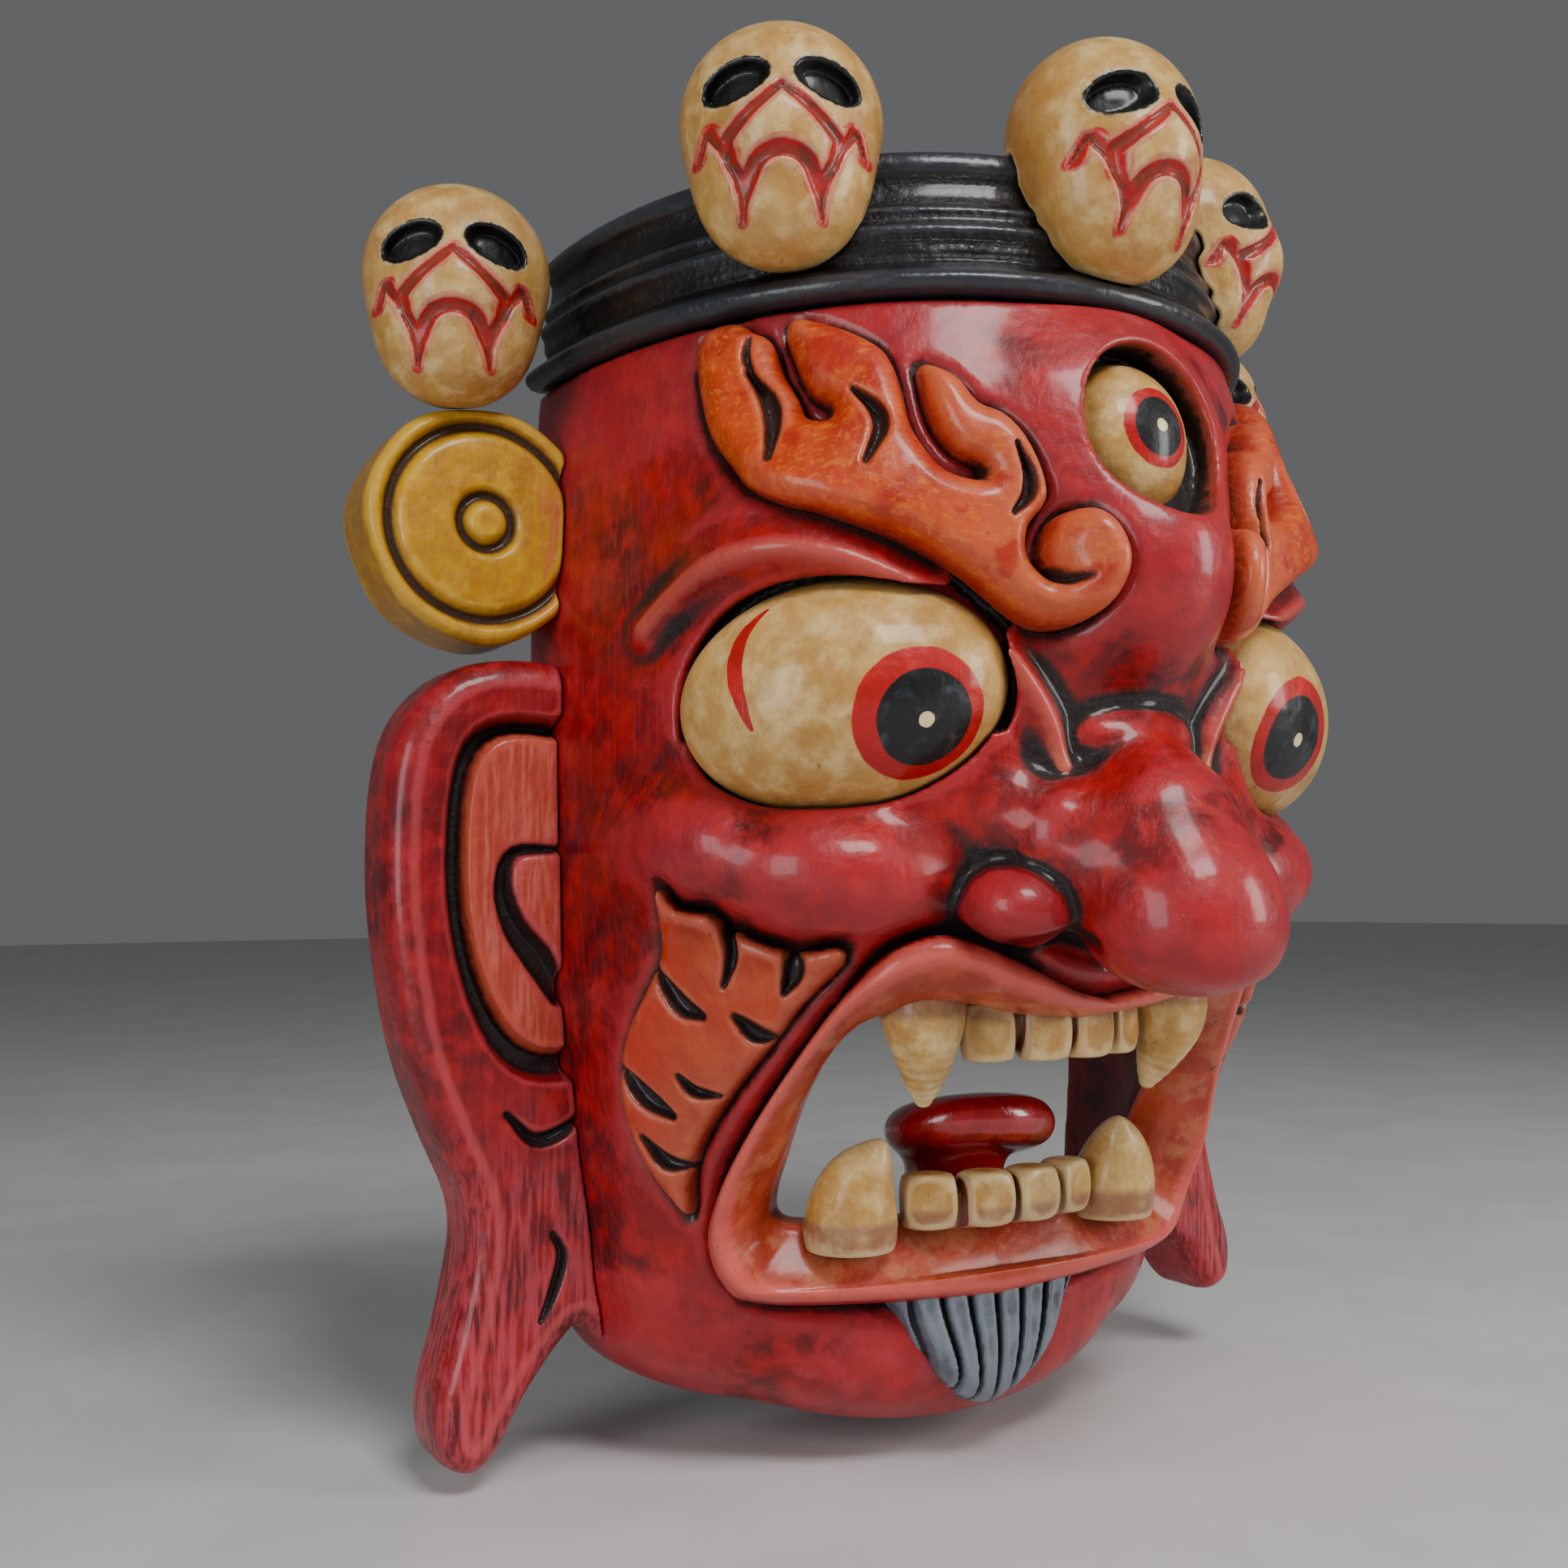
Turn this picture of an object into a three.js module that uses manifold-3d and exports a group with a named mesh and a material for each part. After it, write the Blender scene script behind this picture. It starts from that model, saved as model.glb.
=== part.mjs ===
// A carved and painted wooden wall mask of a wrathful guardian with a crown of five skulls.
// Millimetres. +X is the wearer's left as seen from the front, +Z is up, and the wall is the plane Y = 0.
// The face looks along -Y. Inside `mask` the iris height is Z = 0; the whole mask is then lowered, so
// that the origin is the hanger's pivot line on the wall plane.
import * as THREE from 'three';
import { mergeVertices } from 'three/addons/utils/BufferGeometryUtils.js';
import Module from 'manifold-3d';

const wasm = await Module();
wasm.setup();

// ---- driving dimensions ----
const HOOK_HEIGHT = 119; // hanger pivot above the iris
const GAP = 0.3; // clearance between separate pieces
const WALL = 14; // thickness of the carved face
const JAW_FORM = 2.5; // power of the superellipse of the head's lower levels
const CROWN_BASE = 100; // level where the crown block sits on the face
const CROWN_TOP = 138;
const CHIN = -172;
const JAW = -120; // below this level the head rounds into the chin
const JAW_WIDE = 93;
const JAW_DEEP = 69;
const HOLLOW_TOP = 88; // ceiling of the hollow, below the crown block

// half width, depth and superellipse power of the head at each level, from the jaw up
const LEVELS = [
  { z: JAW, wide: JAW_WIDE, deep: JAW_DEEP, form: JAW_FORM },
  { z: -100, wide: 95, deep: 83, form: JAW_FORM },
  { z: -75, wide: 96.5, deep: 102, form: JAW_FORM },
  { z: -60, wide: 97.5, deep: 111, form: JAW_FORM },
  { z: -30, wide: 98, deep: 121, form: JAW_FORM },
  { z: 0, wide: 98.5, deep: 127, form: JAW_FORM },
  { z: 40, wide: 98.5, deep: 131, form: 2.45 },
  { z: 75, wide: 97.5, deep: 129, form: 2.3 },
  { z: CROWN_BASE, wide: 96, deep: 123, form: 2.1 },
  { z: CROWN_TOP, wide: 91, deep: 113, form: 2.1 },
];

const PAINT = {
  red: new THREE.MeshStandardMaterial({ color: 0xb01316, roughness: 0.35, metalness: 0 }),
  ear: new THREE.MeshStandardMaterial({ color: 0xa3182a, roughness: 0.45, metalness: 0 }),
  orange: new THREE.MeshStandardMaterial({ color: 0xd9481c, roughness: 0.4, metalness: 0 }),
  lip: new THREE.MeshStandardMaterial({ color: 0xcf4a33, roughness: 0.45, metalness: 0 }),
  bone: new THREE.MeshStandardMaterial({ color: 0xe2c078, roughness: 0.4, metalness: 0 }),
  yellow: new THREE.MeshStandardMaterial({ color: 0xcf9a12, roughness: 0.45, metalness: 0 }),
  black: new THREE.MeshStandardMaterial({ color: 0x17151a, roughness: 0.25, metalness: 0 }),
  slate: new THREE.MeshStandardMaterial({ color: 0x2b2f3a, roughness: 0.4, metalness: 0 }),
  tongue: new THREE.MeshStandardMaterial({ color: 0xb0101c, roughness: 0.2, metalness: 0 }),
  iron: new THREE.MeshStandardMaterial({ color: 0x8f8f94, roughness: 0.4, metalness: 1 }),
};

// ---- solids ----

// closed solid from a three.js geometry
function solid(geometry) {
  const bare = geometry.clone();
  bare.deleteAttribute('normal');
  bare.deleteAttribute('uv');
  const merged = mergeVertices(bare, 1e-4);
  return new wasm.Manifold(new wasm.Mesh({
    numProp: 3,
    vertProperties: new Float32Array(merged.attributes.position.array),
    triVerts: new Uint32Array(merged.index.array),
  }));
}

// three.js geometry from a solid
function shaped(body) {
  const mesh = body.getMesh();
  const geometry = new THREE.BufferGeometry();
  geometry.setAttribute('position', new THREE.BufferAttribute(mesh.vertProperties, mesh.numProp));
  geometry.setIndex(new THREE.BufferAttribute(mesh.triVerts, 1));
  geometry.computeVertexNormals();
  return geometry;
}

const joined = (first, ...rest) => rest.reduce((whole, piece) => whole.add(piece), first);

// what a cut leaves, without the loose slivers
function cutBy(first, ...rest) {
  const left = rest.reduce((whole, piece) => whole.subtract(piece), first);
  return left.decompose().sort((a, b) => b.volume() - a.volume())[0];
}

// box between two corners
function block(low, high) {
  const size = high.map((value, axis) => value - low[axis]);
  const geometry = new THREE.BoxGeometry(...size);
  geometry.translate(...low.map((value, axis) => value + size[axis] / 2));
  return solid(geometry);
}

// ellipsoid: centre, three radii, then turned about X, Y and Z in degrees
function ball(centre, radii, turn = [0, 0, 0], sides = 12) {
  const geometry = new THREE.SphereGeometry(1, sides, Math.round(sides * 0.6));
  geometry.rotateX(Math.PI / 2);
  geometry.scale(...radii);
  turned(geometry, turn);
  geometry.translate(...centre);
  return solid(geometry);
}

function turned(geometry, turn) {
  geometry.rotateX(THREE.MathUtils.degToRad(turn[0]));
  geometry.rotateY(THREE.MathUtils.degToRad(turn[1]));
  geometry.rotateZ(THREE.MathUtils.degToRad(turn[2]));
}

// smooth closed outline through points, as a list of [x, z]
function smoothOutline(points, steps) {
  const curve = new THREE.CatmullRomCurve3(points.map(([x, z]) => new THREE.Vector3(x, z, 0)), true);
  return curve.getPoints(steps).slice(0, -1).map((point) => [point.x, point.y]);
}

// prism of an outline in the XZ plane, from the level y = from to y = to
function prism(outline, from, to) {
  const shape = new THREE.Shape(outline.map(([x, z]) => new THREE.Vector2(x, z)));
  const geometry = new THREE.ExtrudeGeometry(shape, { depth: to - from, bevelEnabled: false, curveSegments: 1 });
  geometry.rotateX(Math.PI / 2);
  geometry.translate(0, to, 0);
  return solid(geometry);
}

const mirrorOutline = (outline) => outline.map(([x, z]) => [-x, z]).reverse();
const side = (hand, outline) => (hand > 0 ? outline : mirrorOutline(outline));

// ---- the head ----

// half width, depth and power of the head at a level
function levelSize(z) {
  if (z < JAW) {
    const down = Math.min((JAW - z) / (JAW - CHIN), 1);
    return {
      wide: JAW_WIDE * (1 - down ** 2.6) ** (1 / 2.6),
      deep: JAW_DEEP * (1 - down ** 4) ** 0.25,
      form: JAW_FORM,
    };
  }
  const level = Math.min(z, CROWN_TOP);
  const above = Math.max(1, LEVELS.findIndex((one) => one.z >= level));
  const high = LEVELS[above];
  const low = LEVELS[above - 1];
  const share = (level - low.z) / (high.z - low.z);
  const between = (key) => low[key] + share * (high[key] - low[key]);
  return { wide: between('wide'), deep: between('deep'), form: between('form') };
}

// the head's plain form, grown by `grow`, up to the level `top`
function headForm(grow, top = CROWN_TOP) {
  const geometry = new THREE.SphereGeometry(1, 32, 18);
  geometry.rotateX(Math.PI / 2);
  const place = geometry.attributes.position;
  for (let i = 0; i < place.count; i += 1) {
    const polar = Math.acos(THREE.MathUtils.clamp(place.getZ(i), -1, 1)) / Math.PI;
    const around = Math.atan2(place.getY(i), place.getX(i));
    const z = CHIN + (top - CHIN) * (1 - Math.cos((1 - polar) * Math.PI / 2)) * 0.5
      + (top - CHIN) * (1 - polar) * 0.5;
    const { wide, deep, form } = levelSize(z);
    const pole = polar < 1e-4 || polar > 1 - 1e-4;
    const spread = (value, half) => Math.sign(value) * Math.abs(value) ** (2 / form) * Math.max(half + grow, 0.5);
    const lift = (grow * (z - CHIN)) / (top - CHIN) - (grow * (top - z)) / (top - CHIN);
    place.setXYZ(i, pole ? 0 : spread(Math.cos(around), wide), pole ? 0 : spread(Math.sin(around), deep), z + lift);
  }
  return solid(geometry);
}

// swellings of the face: [centre, radii, turn] on the midline or on the wearer's left side
const MIDLINE_FORMS = [
  { centre: [0, -128, -34], radii: [21, 34, 21], turn: [-24, 0, 0] }, // nose
  { centre: [0, -144, -44], radii: [20.5, 20.5, 17], turn: [0, 0, 0] }, // nose tip
  { centre: [0, -122, -1], radii: [18.5, 13, 9], turn: [0, 0, 0] }, // roll across the bridge
  { centre: [0, -117, 38], radii: [27, 34, 30], turn: [0, 0, 0] }, // forehead above the bridge
  { centre: [0, -114, 65], radii: [31, 27, 35], turn: [0, 0, 0] }, // forehead round the third eye
  { centre: [0, -42, -152], radii: [46, 22, 19], turn: [0, 0, 0] }, // chin
];
const SIDE_FORMS = [
  { centre: [57, -90, -30], radii: [30, 25, 17], turn: [0, -4, 26] }, // cheek
  { centre: [34, -117, -35], radii: [14, 16, 11.5], turn: [0, -8, 14] }, // nostril wing
  { centre: [55, -90, 48], radii: [36, 25, 18], turn: [0, 12, 33] }, // brow ridge
  { centre: [22, -95, -54], radii: [36, 22, 11], turn: [0, -10, 12] }, // muzzle
];

function faceForm(grow) {
  const swollen = (form, hand) => ball(
    [form.centre[0] * hand, form.centre[1], form.centre[2]],
    form.radii.map((radius) => radius + grow),
    [form.turn[0], form.turn[1] * hand, form.turn[2] * hand],
  );
  return joined(
    headForm(grow, CROWN_TOP + 20),
    ...MIDLINE_FORMS.map((form) => swollen(form, 1)),
    ...SIDE_FORMS.flatMap((form) => [swollen(form, 1), swollen(form, -1)]),
  );
}

const bare = faceForm(0);
const clear = faceForm(GAP);
const REACH = 400; // larger than the mask
const behindWall = block([-REACH, 0, -REACH], [REACH, REACH, REACH]);
const hollow = headForm(-WALL, CROWN_TOP + 20)
  .intersect(block([-REACH, -REACH, -REACH], [REACH, REACH, HOLLOW_TOP]));

// raised carving: what lies under an outline, between the face and `proud` above it
function relief(outline, proud) {
  const raised = prism(outline, -REACH, -20).intersect(faceForm(proud));
  return cutBy(raised, clear);
}

// ---- eyes ----
const EYE = { centre: [60, -97.5, 9], radii: [37.5, 24, 26.5], turn: [0, 9, 37] };
const THIRD_EYE = { centre: [0, -121, 67], radii: [17.5, 17.5, 20.5], turn: [0, 0, 0] };
const THIRD_RECESS = { centre: [0, -150, 69], radii: [19.5, 24, 22.5] }; // opens the forehead round the third eye
const EYE_SEAT = 6; // depth of the eye's seat below the head's form

function eyeForm(eye, hand, grow) {
  const whole = ball(
    [eye.centre[0] * hand, eye.centre[1], eye.centre[2]],
    eye.radii.map((radius) => radius + grow),
    [eye.turn[0], eye.turn[1] * hand, eye.turn[2] * hand],
    18,
  );
  return cutBy(whole, headForm(-EYE_SEAT - grow, CROWN_TOP + 20));
}

// ---- mouth ----
const LIP_FOOT = -133;
const HALF_MOUTH = [[0, -65.5], [36, -61], [48, -60.5], [57, -66], [64, -84], [65, -104], [60, -116]];
const HALF_LIP = [
  [0, -60], [28, -52], [47, -46], [57, -52], [66, -68], [73, -92], [75, -110], [72, -124], [63, LIP_FOOT],
];
const bothHalves = (half) => [...half, ...half.slice(1).map(([x, z]) => [-x, z]).reverse()];
const MOUTH = bothHalves(HALF_MOUTH);
const LIP = bothHalves(HALF_LIP);
const LIP_WALL = 4; // thickness of the lip's inner wall
const LIP_PROUD = 6;
const LIP_DEEP = 12; // how far the lip reaches back into the mouth
const LIP_FRONT = -124; // the lip stays behind the nose tip

// an outline moved outwards from its middle by about `by`
function spreadOutline(outline, by) {
  const middle = [0, -90];
  return outline.map(([x, z]) => {
    const away = Math.hypot(x - middle[0], z - middle[1]);
    return [x + ((x - middle[0]) / away) * by, z + ((z - middle[1]) / away) * by];
  });
}

// the lip, grown by `grow`: a raised band round the mouth and its wall inside the opening
function lipRim(grow) {
  const underNose = block([-REACH, LIP_FRONT - grow, -REACH], [REACH, 0, REACH]);
  const front = relief(spreadOutline(LIP, grow), LIP_PROUD + grow).intersect(underNose);
  const inner = prism(spreadOutline(MOUTH, LIP_WALL + grow), -REACH, -20)
    .intersect(faceForm(LIP_PROUD + grow))
    .intersect(underNose)
    .subtract(headForm(-LIP_DEEP - grow, CROWN_TOP));
  return cutBy(front.add(inner), prism(spreadOutline(MOUTH, -grow), -REACH, REACH));
}

// a tooth: a cone from a root to a tip with a rounded end
function fang(root, tip, radius) {
  const from = new THREE.Vector3(...root);
  const to = new THREE.Vector3(...tip);
  const length = from.distanceTo(to);
  const profile = [[0, 0], [radius, 0], [radius * 1.05, length * 0.25], [radius * 0.75, length * 0.6],
    [radius * 0.35, length * 0.9], [0, length]];
  const geometry = new THREE.LatheGeometry(profile.map(([r, h]) => new THREE.Vector2(r, h)), 10);
  const turn = new THREE.Quaternion().setFromUnitVectors(new THREE.Vector3(0, 1, 0), to.sub(from).normalize());
  geometry.applyQuaternion(turn);
  geometry.translate(...root);
  return solid(geometry);
}

// a row of front teeth on a gum bar that follows the jaw's curve
function toothRow({ count, pitch, front, curve, root, edge, thick }) {
  const half = (count * pitch) / 2;
  const depthAt = (x) => front + curve * x * x;
  const teeth = [];
  for (let i = 0; i < count; i += 1) {
    const x = -half + (i + 0.5) * pitch;
    const geometry = new THREE.BoxGeometry(pitch - 0.8, thick, Math.abs(edge - root));
    geometry.rotateZ(Math.atan(2 * curve * x));
    geometry.translate(x, depthAt(x) + thick / 2, (edge + root) / 2);
    teeth.push(solid(geometry));
  }
  const steps = 10;
  const frontLine = [];
  const backLine = [];
  for (let i = 0; i <= steps; i += 1) {
    const x = -half + (2 * half * i) / steps;
    frontLine.push(new THREE.Vector2(x, depthAt(x) + 0.8));
    backLine.unshift(new THREE.Vector2(x, depthAt(x) + thick + 2));
  }
  const gum = new THREE.ExtrudeGeometry(new THREE.Shape([...frontLine, ...backLine]), {
    depth: Math.abs(edge - root) * 0.75,
    bevelEnabled: false,
  });
  gum.translate(0, 0, edge > root ? root : edge + Math.abs(edge - root) * 0.25);
  return joined(solid(gum), ...teeth);
}

// ---- crown ----
// moulded bands round the block: lower and upper level, and how far each stands proud
const MOULDINGS = [
  { low: CROWN_BASE + GAP, high: 109, proud: 3 },
  { low: 117, high: 121, proud: 1.5 },
  { low: 132, high: CROWN_TOP, proud: 2 },
];

function crownForm(grow) {
  const slice = (low, high, proud) => headForm(proud, CROWN_TOP + 20)
    .intersect(block([-REACH, -REACH, low], [REACH, 0, high]));
  return joined(
    slice(CROWN_BASE + GAP, CROWN_TOP + grow, grow),
    ...MOULDINGS.map(({ low, high, proud }) => slice(low, high + (high === CROWN_TOP ? grow : 0), proud + grow)),
  );
}

// ---- skulls ----
// centre of the cranium, and the way the skull looks about Z in degrees
const SKULLS = {
  skull_far_left: { centre: [-126, -19, 119], looks: -18 },
  skull_left: { centre: [-71, -90, 142], looks: -30 },
  skull_centre: { centre: [0, -123, 141], looks: 0 },
  skull_right: { centre: [65, -85, 142], looks: 30 },
  skull_far_right: { centre: [126, -19, 119], looks: 18 },
};
const CRANIUM = [24, 21.5, 25.5];
const SKULL_JAW = { drop: 18, forward: 2, radii: [17, 15, 17] };

function skullForm({ centre, looks }) {
  const turn = [0, 0, looks];
  const ahead = THREE.MathUtils.degToRad(looks);
  const jawCentre = [
    centre[0] + Math.sin(ahead) * SKULL_JAW.forward,
    centre[1] - Math.cos(ahead) * SKULL_JAW.forward,
    centre[2] - SKULL_JAW.drop,
  ];
  return ball(centre, CRANIUM, turn, 16).add(ball(jawCentre, SKULL_JAW.radii, turn, 16));
}

// ---- ears ----
const EAR_FRONT = -24;
const EAR = [
  [80, 20], [104, 25], [126, 21], [140, 3], [143.5, -25], [140.5, -55], [134, -84], [123, -108], [121.5, -122],
  [127, -146], [130, -162], [127, -173], [119, -176.5], [112, -170], [106, -158], [93, -144], [78, -136],
];
const CONCHA = [[94, 8], [112, 8], [125, -2], [127, -38], [121, -66], [110, -79], [94, -82]];
const CONCHA_DEEP = 9;
const LOBE_TOP = -80;
const RIGHT_LOBE = 0.85; // the carving is not quite symmetrical: this lobe is shorter
const DISC = { centre: [118.5, 58.5], radius: 30.5 };

function earForm(hand) {
  const length = hand > 0 ? RIGHT_LOBE : 1;
  const shape = EAR.map(([x, z]) => [x, z < LOBE_TOP ? LOBE_TOP + (z - LOBE_TOP) * length : z]);
  const outline = side(hand, smoothOutline(shape, 44));
  const recess = side(hand, smoothOutline(CONCHA, 20));
  const inner = ball([hand * 104, EAR_FRONT + CONCHA_DEEP, -42], [11, 8, 26]);
  const hollowed = cutBy(prism(outline, EAR_FRONT, 0), prism(recess, EAR_FRONT - 1, EAR_FRONT + CONCHA_DEEP));
  return cutBy(hollowed.add(inner), clear);
}

// turned disc with a ring groove and a boss, on its axis along -Y
function discForm(hand) {
  const { radius } = DISC;
  const front = -EAR_FRONT;
  const profile = [
    [0, 0], [radius, 0], [radius, front - 3], [radius - 3, front], [radius * 0.8, front],
    [radius * 0.74, front - 4], [radius * 0.68, front], [radius * 0.38, front], [radius * 0.32, front - 4],
    [radius * 0.24, front - 1], [0, front],
  ];
  const geometry = new THREE.LatheGeometry(profile.map(([r, h]) => new THREE.Vector2(r, h)), 24);
  geometry.rotateX(Math.PI);
  geometry.translate(hand * DISC.centre[0], 0, DISC.centre[1]);
  return cutBy(solid(geometry), clear);
}

// ---- hanger: a D ring in a folded strap, held by one screw in a pocket of the crown ----
const RING = { wire: 1.1, wide: 8, leg: 5, y: -3.2 };
const POCKET = { wide: 13, tall: 15, deep: 6 };
const STRAP = { wide: 5.5, thick: 1.2, tall: 11.5, knuckle: 2.4, bore: 1.5 };
const SCREW = { z: 7, head: 2.8, headTall: 1.1, shank: 1.3, length: 14 };
const hangerBack = -POCKET.deep + GAP;

function cylinder(radius, length, sides = 16) {
  return new THREE.CylinderGeometry(radius, radius, length, sides);
}

function placed(geometry, turn, position) {
  turned(geometry, turn);
  geometry.translate(...position);
  return solid(geometry);
}

function ringForm() {
  const { wire, wide, leg, y } = RING;
  const bar = placed(cylinder(wire, 2 * wide, 8), [0, 0, 90], [0, y, 0]);
  const corner = (hand) => ball([hand * wide, y, 0], [wire, wire, wire], [0, 0, 0], 8);
  const legs = [-1, 1].map((hand) => placed(cylinder(wire, leg, 8), [90, 0, 0], [hand * wide, y, -leg / 2]));
  const bow = placed(new THREE.TorusGeometry(wide, wire, 8, 24), [90, 0, 0], [0, y, -leg])
    .intersect(block([-REACH, -REACH, -REACH], [REACH, REACH, -leg]));
  return joined(bar, corner(-1), corner(1), ...legs, bow);
}

function screwForm(grow) {
  const head = placed(cylinder(SCREW.head + grow, SCREW.headTall, 20), [0, 0, 0],
    [0, hangerBack + STRAP.thick + GAP + SCREW.headTall / 2, SCREW.z]);
  const shank = placed(cylinder(SCREW.shank + grow, SCREW.length, 14), [0, 0, 0],
    [0, hangerBack + STRAP.thick + GAP - SCREW.length / 2 + 0.5, SCREW.z]);
  return head.add(shank);
}

function strapForm() {
  const plate = block([-STRAP.wide, hangerBack, 0], [STRAP.wide, hangerBack + STRAP.thick, STRAP.tall]);
  const knuckle = placed(cylinder(STRAP.knuckle, 2 * STRAP.wide, 18), [0, 0, 90], [0, RING.y, 0]);
  const bore = placed(cylinder(STRAP.bore, 3 * STRAP.wide, 18), [0, 0, 90], [0, RING.y, 0]);
  return plate.add(knuckle).subtract(bore).subtract(screwForm(GAP));
}

const screwHole = placed(cylinder(SCREW.shank + GAP, SCREW.length + GAP, 14), [0, 0, 0],
  [0, hangerBack + STRAP.thick + GAP - SCREW.length / 2 + 0.5 - GAP, SCREW.z]);

// ---- carved relief outlines on the wearer's left ----
const BROW = [
  [86, 68], [88, 80], [85, 93], [78, 97], [62, 92], [54, 84], [44, 79], [33, 70], [27, 54], [26, 44],
  [17, 47], [7, 40], [8, 28], [19, 21], [30, 22], [45, 27], [60, 36], [74, 46], [83, 56],
];
const WHISKER = [
  [90, -37], [80, -44], [64, -46], [66, -58], [72, -74], [78, -98], [79, -111], [85, -101], [90, -88], [93, -72],
  [93, -54],
];
const GOATEE = [
  [-27, -132], [27, -132], [24, -144], [16, -155], [7, -163], [0, -166], [-7, -163], [-16, -155], [-24, -144],
];

// ---- assembly ----
const mask = new THREE.Group();
mask.position.z = -HOOK_HEIGHT;
const hanger = new THREE.Group();

function add(group, name, body, paint) {
  const mesh = new THREE.Mesh(shaped(body), paint);
  mesh.name = name;
  group.add(mesh);
}

const raised = {};
[['left', -1], ['right', 1]].forEach(([name, hand]) => {
  raised[`eyebrow_${name}`] = relief(side(hand, smoothOutline(BROW, 34)), 6);
  raised[`whisker_${name}`] = relief(side(hand, smoothOutline(WHISKER, 20)), 5);
});
const lipClear = lipRim(GAP);
const mouthHole = prism(spreadOutline(MOUTH, LIP_WALL + GAP), -REACH, REACH);
const mouthRoom = prism(spreadOutline(MOUTH, LIP_WALL), -REACH, REACH);
const inMouth = (body) => cutBy(body.intersect(mouthRoom), lipClear);
const eyeSeats = [eyeForm(EYE, 1, GAP), eyeForm(EYE, -1, GAP), eyeForm(THIRD_EYE, 1, GAP)];
const thirdRecess = ball(THIRD_RECESS.centre, THIRD_RECESS.radii, [0, 0, 0], 18);
const eyeFree = (body) => cutBy(body, ...eyeSeats);

const belowCrown = block([-REACH, -REACH, -REACH], [REACH, 0, CROWN_BASE]);
add(mask, 'face_shell', cutBy(bare, hollow, mouthHole, thirdRecess, ...eyeSeats).intersect(belowCrown), PAINT.red);

const pocket = block(
  [-POCKET.wide, -POCKET.deep, HOOK_HEIGHT - POCKET.tall],
  [POCKET.wide, 1, HOOK_HEIGHT + POCKET.tall],
);
const crown = crownForm(0);
const liftedHole = screwHole.translate([0, 0, HOOK_HEIGHT]);
add(mask, 'crown_block', cutBy(crown, pocket, liftedHole), PAINT.black);

const crownClear = crownForm(GAP);
const discs = { left: discForm(-1), right: discForm(1) };
Object.entries(SKULLS).forEach(([name, place]) => {
  const discGuard = block([-REACH, -REACH, -REACH], [REACH, REACH, DISC.centre[1] + DISC.radius + GAP]);
  const skull = cutBy(skullForm(place), crownClear, clear.intersect(belowCrown), behindWall);
  add(mask, name, name.includes('far') ? cutBy(skull, discGuard) : skull, PAINT.bone);
});

[['left', -1], ['right', 1]].forEach(([name, hand]) => {
  const discGuard = placed(cylinder(DISC.radius + 2 * GAP, 4 * -EAR_FRONT, 24), [0, 0, 0],
    [hand * DISC.centre[0], 0, DISC.centre[1]]);
  add(mask, `ear_disc_${name}`, discs[name], PAINT.yellow);
  add(mask, `ear_${name}`, cutBy(earForm(hand), discGuard), PAINT.ear);
  add(mask, `eye_${name}`, eyeForm(EYE, hand, 0), PAINT.bone);
  add(mask, `eyebrow_${name}`, eyeFree(raised[`eyebrow_${name}`]), PAINT.orange);
  add(mask, `whisker_${name}`, cutBy(eyeFree(raised[`whisker_${name}`]), lipClear), PAINT.orange);
  const upperFang = fang([hand * 38, -94, -61], [hand * 35, -90, -85.5], 9.5);
  const lowerFang = fang([hand * 42, -67, -116], [hand * 37.5, -75, -94.5], 9.5);
  add(mask, `upper_fang_${name}`, inMouth(upperFang), PAINT.bone);
  add(mask, `lower_fang_${name}`, inMouth(lowerFang), PAINT.bone);
});
add(mask, 'third_eye', eyeForm(THIRD_EYE, 1, 0), PAINT.bone);
const belowLip = block([-REACH, -REACH, -REACH], [REACH, 0, LIP_FOOT - 2 * GAP]);
add(mask, 'goatee', cutBy(relief(smoothOutline(GOATEE, 16), 6).intersect(belowLip), lipClear), PAINT.slate);
add(mask, 'lip_rim', lipRim(0), PAINT.lip);
const upperTeeth = toothRow({ count: 4, pitch: 13, front: -104.5, curve: 0.013, root: -61, edge: -75.5, thick: 8 });
const lowerTeeth = toothRow({ count: 4, pitch: 14, front: -80, curve: 0.01, root: -117, edge: -104.5, thick: 9 });
add(mask, 'upper_teeth', inMouth(upperTeeth), PAINT.bone);
add(mask, 'lower_teeth', inMouth(lowerTeeth), PAINT.bone);
const tongue = ball([1, -60, -96.5], [23, 20.5, 9], [-15, 0, 0], 14).add(block([-10, -60, -117], [10, -48, -98]));
add(mask, 'tongue', inMouth(tongue), PAINT.tongue);

add(hanger, 'hanger_strap', strapForm(), PAINT.iron);
add(hanger, 'hanger_screw', screwForm(0), PAINT.iron);
add(hanger, 'hanger_ring', ringForm(), PAINT.iron);

const part = new THREE.Group();
part.add(mask, hanger);

export default part;
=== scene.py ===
"""Carved guardian wall mask: the looks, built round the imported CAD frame.

Every shape is a signed distance field in the mask's own millimetres: x to the viewer's right, y into
the wall, z up, with z = 0 at the height of the irises. A field is sampled on a grid, meshed, and placed
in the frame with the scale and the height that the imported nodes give.
"""

import math

import bmesh
import bpy
import numpy as np
import openvdb
from mathutils import Matrix, Vector


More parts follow.
